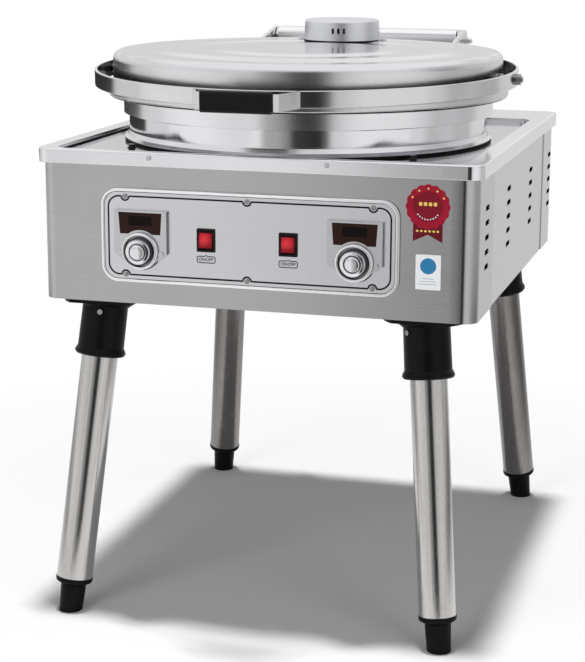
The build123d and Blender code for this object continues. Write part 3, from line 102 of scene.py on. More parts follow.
def spread(tree, value, low, high, start=0.3, end=0.7):
    node = tree.nodes.new("ShaderNodeMapRange")
    for name, number in (("From Min", start), ("From Max", end), ("To Min", low), ("To Max", high)):
        node.inputs[name].default_value = number
    tree.links.new(value, node.inputs["Value"])
    return node.outputs[0]


def tint(tree, factor, dark, light):
    node = tree.nodes.new("ShaderNodeMix")
    node.data_type = "RGBA"
    node.inputs[6].default_value = (*dark, 1)
    node.inputs[7].default_value = (*light, 1)
    tree.links.new(factor, node.inputs[0])
    return node.outputs[2]


def bump(tree, bsdf, height, strength, distance):
    node = tree.nodes.new("ShaderNodeBump")
    node.inputs["Strength"].default_value = strength
    node.inputs["Distance"].default_value = distance
    tree.links.new(height, node.inputs["Height"])
    tree.links.new(node.outputs[0], bsdf.inputs["Normal"])


def turned_coords(tree, centre_y):
    """Coordinates of a turned piece: radius, height and nothing round it."""
    split = tree.nodes.new("ShaderNodeSeparateXYZ")
    tree.links.new(object_coords(tree), split.inputs[0])
    off_y = math_node(tree, "SUBTRACT", split.outputs[1], centre_y)
    squares = math_node(tree, "ADD", math_node(tree, "POWER", split.outputs[0], 2.0),
                        math_node(tree, "POWER", off_y, 2.0))
    join = tree.nodes.new("ShaderNodeCombineXYZ")
    tree.links.new(math_node(tree, "SQRT", squares), join.inputs[0])
    tree.links.new(split.outputs[2], join.inputs[2])
    return join.outputs[0]


def facing_up(tree):
    """1 on faces that look up, 0 on walls."""
    split = tree.nodes.new("ShaderNodeSeparateXYZ")
    tree.links.new(tree.nodes.new("ShaderNodeNewGeometry").outputs["Normal"], split.inputs[0])
    return spread(tree, split.outputs[2], 0.0, 1.0, 0.6, 0.8)


def recolour(tree, bsdf, keep, colour):
    """Another base colour where keep is 0."""
    mix = tree.nodes.new("ShaderNodeMix")
    mix.data_type = "RGBA"
    mix.inputs[6].default_value = (*colour, 1)
    tree.links.new(keep, mix.inputs[0])
    tree.links.new(bsdf.inputs["Base Color"].links[0].from_socket, mix.inputs[7])
    tree.links.new(mix.outputs[2], bsdf.inputs["Base Color"])


def steel(name, grain, rough, dark, light, grain_bump=0.25, centre_y=None, brushed=(), dark_within=None,
          bowed=None, tray_shade=None):
    """Stainless steel: fine grain stretched along the brushing, and soft wide clouds.

    brushed holds (from, to, more): going from one height to the other the surface gets rougher by so much.
    dark_within is (radius, colour, about y): nearer to that axis it takes that dull dark colour: painted
    shade on the hoop's inside and on the bolts round the pan, a dark coat on the cooking plates.
    bowed is (x, curvature): beyond that x, an upright sheet falls away towards its bend.
    tray_shade is (height, colour): the colour of level faces below that height, painted shade and dark
    reflection in the sunk tray.
    """
    material, tree, bsdf = new_material(name)
    coords = object_coords(tree)
    source = coords if centre_y is None else turned_coords(tree, centre_y)
    fine = noise(tree, stretched(tree, source, grain), 1.0, 3.0, 0.6)
    clouds = noise(tree, coords, 7.0, 5.0, 0.6)
    mixed = math_node(tree, "ADD", math_node(tree, "MULTIPLY", fine, 0.55),
                      math_node(tree, "MULTIPLY", clouds, 0.45))
    colour = tint(tree, spread(tree, mixed, 0.0, 1.0, 0.36, 0.64), dark, light)
    tree.links.new(colour, bsdf.inputs["Base Color"])
    roughness = spread(tree, mixed, rough[0], rough[1])
    place = tree.nodes.new("ShaderNodeSeparateXYZ")
    tree.links.new(coords, place.inputs[0])
    for start, end, more in brushed:
        roughness = math_node(tree, "ADD", roughness, spread(tree, place.outputs[2], 0.0, more, start, end))
    tree.links.new(roughness, bsdf.inputs["Roughness"])
    bsdf.inputs["Metallic"].default_value = 1.0
    bump(tree, bsdf, fine, grain_bump, 0.00004)
    # Level faces below that height are recoloured darker: painted shade in the sunk tray.
    if tray_shade:
        below = spread(tree, place.outputs[2], 1.0, 0.0, tray_shade[0] - 0.0005, tray_shade[0])
        tray_shade_mask = math_node(tree, "MULTIPLY", below, facing_up(tree))
        recolour(tree, bsdf, math_node(tree, "SUBTRACT", 1.0, tray_shade_mask), tray_shade[1])
    # Dark within the radius: painted shade on the hoop's inside and the bolts round the pan; a dark coat on
    # the cooking plates.
    if dark_within:
        radius = tree.nodes.new("ShaderNodeSeparateXYZ")
        tree.links.new(turned_coords(tree, dark_within[2]), radius.inputs[0])
        left_bright = spread(tree, radius.outputs[0], 0.0, 1.0, dark_within[0] - 0.0002, dark_within[0] + 0.0002)
        recolour(tree, bsdf, left_bright, dark_within[1])
        tree.links.new(left_bright, bsdf.inputs["Metallic"])
        bsdf.inputs["Specular IOR Level"].default_value = 0.25
    if bowed:
        past = math_node(tree, "MAXIMUM", math_node(tree, "SUBTRACT", place.outputs[0], bowed[0]), 0.0)
        past = math_node(tree, "MULTIPLY", past, math_node(tree, "SUBTRACT", 1.0, facing_up(tree)))
        drop = math_node(tree, "MULTIPLY", math_node(tree, "POWER", past, 2.0), -bowed[1] / 2)
        bow = tree.nodes.new("ShaderNodeBump")
        bow.inputs["Distance"].default_value = 1.0
        tree.links.new(drop, bow.inputs["Height"])
        tree.links.new(bsdf.inputs["Normal"].links[0].from_socket, bow.inputs["Normal"])
        tree.links.new(bow.outputs[0], bsdf.inputs["Normal"])
    return material


def plastic(name, dark, light, rough, scale=900.0, bump_strength=0.15, coat=0.0, metallic=0.0, emission=None,
            specular=0.5):
    """Moulded plastic: a fine spark-eroded grain and slight clouding."""
    material, tree, bsdf = new_material(name)
    coords = object_coords(tree)
    fine = noise(tree, coords, scale, 2.0, 0.5)
    clouds = noise(tree, coords, 18.0, 4.0, 0.6)
    tree.links.new(tint(tree, spread(tree, clouds, 0.0, 1.0), dark, light), bsdf.inputs["Base Color"])
    tree.links.new(spread(tree, clouds, rough[0], rough[1]), bsdf.inputs["Roughness"])
    bsdf.inputs["Metallic"].default_value = metallic
    bsdf.inputs["Specular IOR Level"].default_value = specular
    bsdf.inputs["Coat Weight"].default_value = coat
    bsdf.inputs["Coat Roughness"].default_value = 0.08
    if emission:
        bsdf.inputs["Emission Color"].default_value = (*emission[0], 1)
        bsdf.inputs["Emission Strength"].default_value = emission[1]
    bump(tree, bsdf, fine, bump_strength, 0.00006)
    return material


def middle_y(name):
    low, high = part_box(name)
    return (low[1] + high[1]) / 2


# Grain of the metal: how closely it is packed along each axis.
HORIZONTAL = (6.0, 6.0, 1600.0)
ROUND = (1500.0, 6.0, 1500.0)
UPRIGHT = (900.0, 900.0, 5.0)
EVEN = (300.0, 300.0, 300.0)
# Dark cooking coat of the plates; on the lower plate it also serves as painted shade in the gap under the
# hoop.
COAT_AND_GAP_SHADE = (0.012, 0.0115, 0.011)
pan_y, lid_y, cap_y = (middle_y(node) for node in ("lower_plate", "upper_plate", "lid_cap"))
plate_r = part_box("lower_plate")[1][0]
upper_plate_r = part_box("upper_plate")[1][0]
hoop_lo, hoop_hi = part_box("hoop")
wall_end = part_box("cabinet_front")[1][0]

# The front and side sheets are the rear sheet's steel in a darker and a lighter copy: painted shade on the
# front, painted light on the sides.
sheet_steel = steel("sheet_steel", HORIZONTAL, (0.15, 0.23), (0.53, 0.52, 0.52), (0.61, 0.6, 0.6), 0.3)
shaded_front_steel = steel("shaded_front_steel", HORIZONTAL, (0.15, 0.23), (0.455, 0.445, 0.445), (0.525, 0.515, 0.515),
                    0.3, bowed=(wall_end - 0.036, 8.0))
lit_side_steel = steel("lit_side_steel", HORIZONTAL, (0.17, 0.25), (0.56, 0.55, 0.55), (0.635, 0.625, 0.625), 0.3)
panel_steel = steel("panel_steel", HORIZONTAL, (0.24, 0.33), (0.74, 0.74, 0.77), (0.82, 0.82, 0.85), 0.22)
# The deck's sunk tray floor is coloured darker: painted shade.
deck_steel = steel("deck_steel", (900.0, 8.0, 900.0), (0.07, 0.14), (0.77, 0.77, 0.79), (0.85, 0.85, 0.87),
                   0.1, bowed=(wall_end - 0.05, 2.0), tray_shade=(DECK_TOP - 0.003, (0.47, 0.47, 0.49)))
tube_steel = steel("tube_steel", UPRIGHT, (0.13, 0.2), (0.54, 0.525, 0.51), (0.64, 0.625, 0.61), 0.15)
# The rear tubes get a darker copy of the tube steel: painted shade.
rear_tube_painted_shade = steel("rear_tube_painted_shade", UPRIGHT, (0.22, 0.3), (0.22, 0.209, 0.2), (0.3, 0.287, 0.277),
                          0.2)
spun_steel = steel("spun_steel", ROUND, (0.1, 0.16), (0.73, 0.73, 0.745), (0.81, 0.81, 0.825), 0.15, lid_y,
                   [(DECK_TOP + 0.118, DECK_TOP + 0.112, 0.12)])
casing_steel = steel("casing_steel", ROUND, (0.07, 0.13), (0.78, 0.78, 0.8), (0.87, 0.87, 0.89), 0.12, pan_y,
                     [(DECK_TOP + 0.031, DECK_TOP + 0.033, 0.1), (DECK_TOP + 0.012, DECK_TOP + 0.006, 0.14)])
cap_steel = steel("cap_steel", ROUND, (0.34, 0.44), (0.74, 0.75, 0.78), (0.83, 0.84, 0.87), 0.25, cap_y)
hoop_steel = steel("hoop_steel", HORIZONTAL, (0.1, 0.17), (0.68, 0.67, 0.67), (0.78, 0.77, 0.77), 0.12)
# The hoop's inside is coloured near-black: painted shade in the gap under the hoop.
ring_steel = steel("ring_steel", HORIZONTAL, (0.1, 0.17), (0.68, 0.67, 0.67), (0.78, 0.77, 0.77), 0.12,
                   dark_within=(hoop_hi[0] - 0.003, (0.02, 0.019, 0.018), hoop_lo[1] + hoop_hi[0]))
pivot_steel = steel("pivot_steel", EVEN, (0.2, 0.3), (0.25, 0.245, 0.24), (0.38, 0.375, 0.37), 0.05)
hood_steel = steel("hood_steel", HORIZONTAL, (0.14, 0.2), (0.94, 0.94, 0.95), (0.98, 0.98, 0.99), 0.2)
# The lower plate's dark cooking coat also paints the shade in the gap seen under the hoop.
cast_plate = steel("cast_plate", ROUND, (0.22, 0.32), (0.66, 0.65, 0.64), (0.76, 0.75, 0.74), 0.4, pan_y,
                   dark_within=(plate_r - 0.0008, COAT_AND_GAP_SHADE, pan_y))
upper_cast = steel("upper_cast", ROUND, (0.28, 0.4), (0.5, 0.49, 0.48), (0.62, 0.61, 0.6), 0.5, lid_y,
                   dark_within=(upper_plate_r - 0.012, COAT_AND_GAP_SHADE, lid_y))
# Bolts near the pan are coloured black: painted shade, matching the dark gap round the casing's foot.
deck_fasteners = steel("deck_fastener", EVEN, (0.14, 0.22), (0.62, 0.62, 0.63), (0.72, 0.72, 0.73),
                       0.05, dark_within=(0.285, (0.02, 0.02, 0.02), pan_y))
zinc = steel("zinc_steel", (40.0, 40.0, 40.0), (0.38, 0.5), (0.5, 0.51, 0.53), (0.64, 0.65, 0.67), 0.1)
panel_fasteners = steel("panel_fastener", EVEN, (0.2, 0.3), (0.33, 0.33, 0.34), (0.45, 0.45, 0.46), 0.05)
bright = steel("bright_fastener", EVEN, (0.14, 0.22), (0.72, 0.72, 0.73), (0.82, 0.82, 0.83), 0.05)
spring_steel = steel("spring_steel", (400.0, 400.0, 400.0), (0.35, 0.5), (0.16, 0.16, 0.17),
                     (0.25, 0.25, 0.27), 0.1)
heater_steel = steel("heater_tube", (500.0, 500.0, 500.0), (0.45, 0.6), (0.15, 0.14, 0.13), (0.24, 0.22, 0.2),
                     0.3)
black_moulding = plastic("black_moulding", (0.0025, 0.0025, 0.003), (0.006, 0.006, 0.0065), (0.3, 0.42),
                         700.0, 0.2, specular=0.1)
foot_rubber = plastic("foot_plastic", (0.003, 0.003, 0.003), (0.007, 0.0065, 0.0065), (0.4, 0.52), 900.0, 0.3,
                      specular=0.08)
grip_black = plastic("grip_black", (0.0025, 0.0025, 0.0035), (0.005, 0.005, 0.007), (0.28, 0.4), 900.0, 0.3,
                     specular=0.2)
# Black for the painted shade rings under the pan and along the tray, and for the cap's gasket.
seal_and_shade_black = plastic("seal_and_shade_black", (0.002, 0.002, 0.002), (0.005, 0.005, 0.005), (0.5, 0.6), 900.0, 0.3,
                      specular=0.1)
block_white = plastic("terminal_plastic", (0.72, 0.7, 0.64), (0.8, 0.78, 0.73), (0.4, 0.5), 500.0, 0.1)
silver_plastic = plastic("silver_plastic", (0.6, 0.6, 0.62), (0.68, 0.68, 0.7), (0.2, 0.28), 1200.0, 0.08,
                         0.0, 1.0)
knob_silver = plastic("knob_silver", (0.82, 0.82, 0.84), (0.9, 0.9, 0.92), (0.12, 0.2), 1200.0, 0.05, 0.0,
                      1.0)
bead_bright = plastic("bead_bright", (0.95, 0.95, 0.96), (0.98, 0.98, 0.99), (0.1, 0.16), 1200.0, 0.05, 0.0,
                      1.0)
knob_dark = plastic("knob_dark", (0.02, 0.02, 0.024), (0.035, 0.035, 0.04), (0.25, 0.35), 900.0, 0.2,
                    specular=0.3)
display_tint = plastic("display_tint", (0.02, 0.006, 0.004), (0.03, 0.01, 0.007), (0.14, 0.2), 900.0, 0.02,
                       specular=0.15)
display_field_tint = plastic("display_field", (0.004, 0.002, 0.002), (0.007, 0.003, 0.003), (0.12, 0.18),
                             900.0, 0.02, specular=0.1)
switch_black = plastic("switch_black", (0.004, 0.003, 0.003), (0.008, 0.006, 0.006), (0.25, 0.35), 900.0, 0.1,
                       specular=0.2)


def lit_rocker():
    """Red translucent rocker with a lamp's glow behind its middle, partly a painted highlight, and a dark
    moulded rim.
    """
    material, tree, bsdf = new_material("rocker_red")
    across = tree.nodes.new("ShaderNodeTexCoord").outputs["Generated"]
    middle = tree.nodes.new("ShaderNodeVectorMath")
    middle.operation = "DISTANCE"
    middle.inputs[1].default_value = (0.4, 0.5, 0.55)
    tree.links.new(across, middle.inputs[0])
    split = tree.nodes.new("ShaderNodeSeparateXYZ")
    tree.links.new(across, split.inputs[0])
    off = [math_node(tree, "ABSOLUTE", math_node(tree, "SUBTRACT", split.outputs[axis], 0.5))
           for axis in (0, 2)]
    lens = spread(tree, math_node(tree, "MAXIMUM", *off), 1.0, 0.0, 0.39, 0.43)
    cloudy = noise(tree, object_coords(tree), 420.0, 3.0, 0.6)
    ragged = math_node(tree, "ADD", middle.outputs["Value"], math_node(tree, "MULTIPLY", cloudy, 0.25))
    # Paler pink towards the middle, in base and emission colour: the lamp's glow and a painted highlight.
    glow_and_highlight = spread(tree, ragged, 1.0, 0.0, 0.2, 0.72)
    tree.links.new(tint(tree, glow_and_highlight, (0.22, 0.002, 0.006), (0.6, 0.01, 0.022)), bsdf.inputs["Base Color"])
    tree.links.new(tint(tree, glow_and_highlight, (0.1, 0.0, 0.003), (0.95, 0.1, 0.13)), bsdf.inputs["Emission Color"])
    recolour(tree, bsdf, lens, (0.02, 0.001, 0.002))
    tree.links.new(math_node(tree, "MULTIPLY", lens, 0.45), bsdf.inputs["Emission Strength"])
    tree.links.new(spread(tree, cloudy, 0.18, 0.26), bsdf.inputs["Roughness"])
    bsdf.inputs["Specular IOR Level"].default_value = 0.12
    bump(tree, bsdf, cloudy, 0.05, 0.00005)
    return material


rocker_red = lit_rocker()
ink = plastic("panel_ink", (0.006, 0.006, 0.007), (0.01, 0.01, 0.011), (0.5, 0.6), 1500.0, 0.05, specular=0.1)
badge_red = plastic("badge_red", (0.28, 0.003, 0.02), (0.4, 0.006, 0.032), (0.25, 0.35), 400.0, 0.08,
                    specular=0.3)
badge_dark = plastic("badge_dark", (0.1, 0.002, 0.008), (0.16, 0.003, 0.012), (0.25, 0.35), 400.0, 0.08,
                     specular=0.3)
badge_mid = plastic("badge_mid", (0.17, 0.002, 0.012), (0.25, 0.004, 0.02), (0.25, 0.35), 400.0, 0.08,
                    specular=0.3)
badge_gold = plastic("badge_gold", (0.95, 0.6, 0.12), (0.98, 0.7, 0.22), (0.25, 0.35), 700.0, 0.05,
                     specular=0.3)
label_white = plastic("label_white", (0.93, 0.95, 0.97), (0.96, 0.98, 1.0), (0.3, 0.4), 900.0, 0.05)
label_grey = plastic("label_grey", (0.55, 0.62, 0.7), (0.62, 0.69, 0.76), (0.3, 0.4), 900.0, 0.05)
label_blue = plastic("label_blue", (0.02, 0.2, 0.42), (0.03, 0.25, 0.5), (0.3, 0.4), 900.0, 0.05)

LOOK = {
    "cabinet_front": shaded_front_steel, "cabinet_rear": sheet_steel, "cabinet_side_left": lit_side_steel,
    "cabinet_side_right": lit_side_steel, "bottom_plate": zinc, "deck": deck_steel,
    "deck_screws": deck_fasteners, "leg_brackets": zinc, "socket_screws": bright,
    "control_plate": panel_steel, "panel_screws": panel_fasteners, "electrics_board": zinc,
    "contactors": grip_black, "terminal_block": block_white, "cable_gland": black_moulding,
    "lower_pan_casing": casing_steel, "lower_plate": cast_plate, "lower_element": heater_steel,
    "lower_heat_shield": zinc, "hinge_brackets": hoop_steel, "hinge_cover": hood_steel, "hinge_shaft": zinc,
    "hinge_springs": spring_steel, "hinge_nuts": bright, "hoop": ring_steel, "hoop_arms": hoop_steel,
    "handle_strap": hoop_steel, "handle_grip": grip_black, "pivot_bolts": pivot_steel,
    "lid_cover": spun_steel, "upper_plate": upper_cast, "upper_element": heater_steel, "lid_cap": cap_steel,
    "cap_screws": bright,
}
for side in ("left", "right"):
    LOOK[f"controller_{side}"] = silver_plastic
    LOOK[f"display_{side}"] = display_tint
    LOOK[f"knob_{side}"] = knob_silver
    LOOK[f"switch_{side}"] = switch_black
    LOOK[f"rocker_{side}"] = rocker_red
for corner in ("front_left", "front_right", "rear_left", "rear_right"):
    LOOK[f"leg_socket_{corner}"] = black_moulding
    LOOK[f"leg_tube_{corner}"] = tube_steel if corner.startswith("front") else rear_tube_painted_shade
    LOOK[f"leg_plug_{corner}"] = foot_rubber
    LOOK[f"foot_{corner}"] = foot_rubber
for name, node in NODES.items():
    node.data.materials.clear()
    node.data.materials.append(LOOK[name])
    for polygon in node.data.polygons:
        polygon.material_index = 0


# ---------------------------------------------------------------- floor, lights and room
def level_ramp(tree, value, stops):
    """A grey level looked up from (degrees, level) stops; value is 0 to 1 for a whole turn from -180."""
    ramp = tree.nodes.new("ShaderNodeValToRGB")
    ramp.color_ramp.interpolation = "EASE"
    tree.links.new(value, ramp.inputs[0])
    elements = ramp.color_ramp.elements
    while len(elements) > 1:
        elements.remove(elements[-1])
    for index, (degrees, level) in enumerate(stops):
        place = degrees / 360 + 0.5
        element = elements[0] if index == 0 else elements.new(place)
        element.position = place
        element.color = (level, level, level, 1)
    return ramp.outputs[0]


def turn_round(tree, vector):
    """How far a direction is round from the front, to the right: 0 to 1 for -180 to 180 degrees."""
    split = tree.nodes.new("ShaderNodeSeparateXYZ")
    tree.links.new(vector, split.inputs[0])
    angle = math_node(tree, "ARCTAN2", split.outputs[0], math_node(tree, "MULTIPLY", split.outputs[1], -1.0))
    return math_node(tree, "ADD", math_node(tree, "DIVIDE", angle, 2 * math.pi), 0.5)


# How bright metal sees the floor and the room, in degrees round from the front: (degrees, level).
FLOOR_ROUND = (
    (-180, 0.74), (87, 0.74), (97, 0.55), (112, 0.6), (122, 0.52), (134, 0.52), (142, 0.74), (180, 0.74),
)
NEAR_ROUND = (           # share of that close by: painted shadow of the object on the floor, as metal sees it
    (-180, 1.0), (-124, 1.0), (-114, 0.6), (-70, 0.6), (-54, 1.0), (66, 1.0), (84, 0.45), (118, 0.35),
    (138, 1.0), (180, 1.0),
)
NEAR_TO = (2.0, 2.6)     # metres from the object where that ends
CARD_ROUND = (           # a dark card, far off to the left
    (-180, 0.0), (-174, 1.0), (-111, 1.0), (-105, 0.0), (180, 0.0),
)
CARD_FROM = (4.5, 5.5)   # metres from the object where it begins


def make_floor():
    """A pale floor that takes the shadow and fades to white away from the object."""
    mesh = bpy.data.meshes.new("floor")
    near, far, wide = -0.95, 40.0, 40.0
    mesh.from_pydata([(-wide, near, 0), (wide, near, 0), (wide, far, 0), (-wide, far, 0)], [], [(0, 1, 2, 3)])
    floor = bpy.data.objects.new("floor", mesh)
    bpy.context.collection.objects.link(floor)
    material, tree, bsdf = new_material("floor_paint")
    bsdf.inputs["Base Color"].default_value = (0.7, 0.7, 0.7, 1)
    bsdf.inputs["Roughness"].default_value = 0.85
    bsdf.inputs["Specular IOR Level"].default_value = 0.0
    out = next(node for node in tree.nodes if node.type == "OUTPUT_MATERIAL")
    path = tree.nodes.new("ShaderNodeLightPath")
    seen = math_node(tree, "MAXIMUM", path.outputs["Is Camera Ray"], path.outputs["Is Transmission Ray"])
    seen = math_node(tree, "MAXIMUM", seen, path.outputs["Is Glossy Ray"])
    lift = tree.nodes.new("ShaderNodeEmission")
    tree.links.new(math_node(tree, "MULTIPLY", seen, 0.01), lift.inputs[1])
    lifted = tree.nodes.new("ShaderNodeAddShader")
    tree.links.new(bsdf.outputs[0], lifted.inputs[0])
    tree.links.new(lift.outputs[0], lifted.inputs[1])
    white = tree.nodes.new("ShaderNodeEmission")
    away = tree.nodes.new("ShaderNodeVectorMath")
    away.operation = "LENGTH"
    tree.links.new(object_coords(tree), away.inputs[0])
    turn = turn_round(tree, object_coords(tree))
    card = math_node(tree, "MULTIPLY", level_ramp(tree, turn, CARD_ROUND),
                     spread(tree, away.outputs["Value"], 0.0, 0.95, *CARD_FROM))
    distant = spread(tree, away.outputs["Value"], 0.0, 1.0, *NEAR_TO)
    # Close by, metal sees the floor darker: painted shadow.
    close = math_node(tree, "MAXIMUM", level_ramp(tree, turn, NEAR_ROUND), distant)
    around = math_node(tree, "MULTIPLY", level_ramp(tree, turn, FLOOR_ROUND),
                       math_node(tree, "SUBTRACT", 1.0, card))
    around = math_node(tree, "MULTIPLY", around, close)
    dimmer = math_node(tree, "MULTIPLY", path.outputs["Is Glossy Ray"],
                       math_node(tree, "SUBTRACT", 1.0, around))
    tree.links.new(math_node(tree, "SUBTRACT", 1.0, dimmer), white.inputs[1])
    fade = spread(tree, away.outputs["Value"], 0.0, 1.0, 0.5, 1.2)
    shown = tree.nodes.new("ShaderNodeMixShader")
    tree.links.new(math_node(tree, "MULTIPLY", fade, seen), shown.inputs[0])
    tree.links.new(lifted.outputs[0], shown.inputs[1])
    tree.links.new(white.outputs[0], shown.inputs[2])
    tree.links.new(shown.outputs[0], out.inputs["Surface"])
    mesh.materials.append(material)


# How bright metal sees the room: level against degrees round from the front.
ROOM_ROUND = (
    (-180, 0.95), (-145, 0.9), (-100, 0.9), (-60, 1.0), (-24, 0.85), (-16, 0.95), (-14.5, 0.85),
    (-13.4, 0.6), (-11, 0.46), (-4, 0.45), (2, 0.3), (7, 0.05), (22, 0.03), (26, 0.12), (31, 0.75),
    (50, 0.95), (85, 0.9), (98, 0.45), (112, 0.4), (125, 0.7), (140, 0.8), (163, 0.92), (180, 0.95),
)
ROOM_UP = (      # sine of the height above the horizon, and a share of that brightness
    (-1.0, 0.9), (-0.3, 0.95), (-0.05, 0.95), (0.08, 0.72), (0.16, 1.0), (0.26, 0.78), (0.36, 1.0),
    (0.48, 0.8), (0.62, 1.0), (1.0, 1.0),
)


def make_world():
    """White behind the object; for reflections, a pale room with a dark gap at the front."""
    world = bpy.data.worlds.new("room")
    bpy.context.scene.world = world
    world.use_nodes = True
    tree = world.node_tree
    tree.nodes.clear()
    out = tree.nodes.new("ShaderNodeOutputWorld")
    split = tree.nodes.new("ShaderNodeSeparateXYZ")
    direction = tree.nodes.new("ShaderNodeTexCoord").outputs["Generated"]
    tree.links.new(direction, split.inputs[0])
    turn = turn_round(tree, direction)
    round_level = level_ramp(tree, turn, ROOM_ROUND)
    rise = math_node(tree, "ADD", math_node(tree, "MULTIPLY", split.outputs[2], 0.5), 0.5)
    up_level = level_ramp(tree, rise, [(sine * 180, level) for sine, level in ROOM_UP])
    overhead = spread(tree, split.outputs[2], 0.0, 1.0, 0.3, 0.7)
    open_level = tree.nodes.new("ShaderNodeMix")
    open_level.data_type = "RGBA"
    open_level.inputs[7].default_value = (0.98, 0.98, 1.0, 1)
    tree.links.new(overhead, open_level.inputs[0])
    tree.links.new(round_level, open_level.inputs[6])
    level = tree.nodes.new("ShaderNodeMix")
    level.data_type = "RGBA"
    level.blend_type = "MULTIPLY"
    level.inputs[0].default_value = 1.0
    tree.links.new(open_level.outputs[2], level.inputs[6])
    tree.links.new(up_level, level.inputs[7])
    reflected = tree.nodes.new("ShaderNodeBackground")
    tree.links.new(level.outputs[2], reflected.inputs[0])
    ambient = tree.nodes.new("ShaderNodeBackground")
    ambient.inputs[0].default_value = (0.75, 0.76, 0.78, 1)
    ambient.inputs[1].default_value = 0.3
    white = tree.nodes.new("ShaderNodeBackground")
    white.inputs[0].default_value = (1, 1, 1, 1)
    path = tree.nodes.new("ShaderNodeLightPath")
    glossy = tree.nodes.new("ShaderNodeMixShader")
    tree.links.new(path.outputs["Is Glossy Ray"], glossy.inputs[0])
    tree.links.new(ambient.outputs[0], glossy.inputs[1])
    tree.links.new(reflected.outputs[0], glossy.inputs[2])
    seen = math_node(tree, "MAXIMUM", path.outputs["Is Camera Ray"], path.outputs["Is Transmission Ray"])
    final = tree.nodes.new("ShaderNodeMixShader")
    tree.links.new(seen, final.inputs[0])
    tree.links.new(glossy.outputs[0], final.inputs[1])
    tree.links.new(white.outputs[0], final.inputs[2])
    tree.links.new(final.outputs[0], out.inputs[0])


def area_light(name, place, aim, size, power):
    data = bpy.data.lights.new(name, "AREA")
    data.shape = "RECTANGLE"
    data.size, data.size_y = size
    data.energy = power
    light = bpy.data.objects.new(name, data)
    light.location = place
    light.rotation_euler = (Vector(aim) - Vector(place)).to_track_quat("-Z", "Y").to_euler()
    light.visible_glossy = False
    bpy.context.collection.objects.link(light)


def make_camera():
    """Long lens, to the right of the front and a little above."""
    yaw, pitch, roll = 0.2752993, 0.2248065, 0.0044807
    forward = Vector((-math.sin(yaw) * math.cos(pitch), math.cos(yaw) * math.cos(pitch), -math.sin(pitch)))
    level = Vector((math.cos(yaw), math.sin(yaw), 0))
    above = level.cross(forward)
    right = math.cos(roll) * level + math.sin(roll) * above
    up = -math.sin(roll) * level + math.cos(roll) * above
    data = bpy.data.cameras.new("camera")
    focal, picture, sensor = 1825.69, 662.0, 36.0   # focal length and longer side of the picture, alike
    data.sensor_width = sensor
    data.lens = focal * sensor / picture
    data.clip_end = 100.0
    camera = bpy.data.objects.new("camera", data)
    place = at(694.258, -2598.432, 957.690)
    turn = Matrix((right, up, -forward)).transposed().to_4x4()
    camera.matrix_world = Matrix.Translation(place) @ turn
    bpy.context.collection.objects.link(camera)
    bpy.context.scene.camera = camera


make_floor()
make_world()
make_camera()
area_light("top", at(-60, 40, 12000), at(-10, 10, 0), (0.9, 0.9), 1450)
area_light("key", (-1.3, -3.4, 1.1), (0, 0, 0.6), (1.4, 1.4), 44)
area_light("fill", (2.6, -2.4, 1.1), (0, 0, 0.6), (1.4, 1.4), 22)
bpy.context.scene.view_settings.view_transform = "Standard"


# ---------------------------------------------------------------- building helpers
def add_object(name, mesh, material, body):
    mesh.materials.append(material)
    piece = bpy.data.objects.new(name, mesh)
    bpy.context.collection.objects.link(piece)
    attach(piece, body)
    return piece


def smooth(mesh, angle=35):
    for polygon in mesh.polygons:
        polygon.use_smooth = True
    mesh.set_sharp_from_angle(angle=math.radians(angle))


def front_plate(name, outline, face_y, thick, material, body="stand", rounding=0.0, holes=()):
    """A flat piece in the XZ plane: outline in millimetres, standing out from face_y by thick."""
    builder = bmesh.new()
    loops = [outline, *holes]
    edges = []
    for loop in loops:
        corners = [builder.verts.new(at(x, face_y - thick, z)) for x, z in loop]
        edges += [builder.edges.new((a, b)) for a, b in zip(corners, corners[1:] + corners[:1])]
    bmesh.ops.triangle_fill(builder, use_beauty=True, use_dissolve=True, edges=edges, normal=(0, -1, 0))
    faces = list(builder.faces)
    made = bmesh.ops.extrude_face_region(builder, geom=faces)
    moved = [item for item in made["geom"] if isinstance(item, bmesh.types.BMVert)]
    bmesh.ops.translate(builder, verts=moved, vec=(0, thick / 1000, 0))
    bmesh.ops.recalc_face_normals(builder, faces=builder.faces)
    mesh = bpy.data.meshes.new(name)
    builder.to_mesh(mesh)
    builder.free()
    piece = add_object(name, mesh, material, body)
    if rounding:
        bevel = piece.modifiers.new("rounding", "BEVEL")
        bevel.width = rounding / 1000
        bevel.segments = 3
        bevel.limit_method = "ANGLE"
        bevel.angle_limit = math.radians(50)
    return piece


def ribbon(name, path, face_y, wide, thick, material, body="stand", rounding=0.0):
    """A closed printed line or bead along a path in the XZ plane."""
    def offset(distance):
        moved = []
        count = len(path)
        for index, (x, z) in enumerate(path):
            ax, az = path[index - 1]
            bx, bz = path[(index + 1) % count]
            dx, dz = bx - ax, bz - az
            length = math.hypot(dx, dz) or 1.0
            moved.append((x + distance * dz / length, z - distance * dx / length))
        return moved
    return front_plate(name, offset(wide / 2), face_y, thick, material, body, rounding,
                       [offset(-wide / 2)])


def arc(cx, cz, radius, start, end, steps):
    """Points on an arc, angles in degrees from +X towards +Z."""
    return [(cx + radius * math.cos(math.radians(start + (end - start) * k / steps)),
             cz + radius * math.sin(math.radians(start + (end - start) * k / steps)))
            for k in range(steps + 1)]


def rounded_rect(cx, cz, wide, high, radius, steps=6):
    half_w, half_h = wide / 2 - radius, high / 2 - radius
    points = []
    for sx, sz, start in ((1, 1, 0), (-1, 1, 90), (-1, -1, 180), (1, -1, 270)):
        points += arc(cx + sx * half_w, cz + sz * half_h, radius, start, start + 90, steps)
    return points


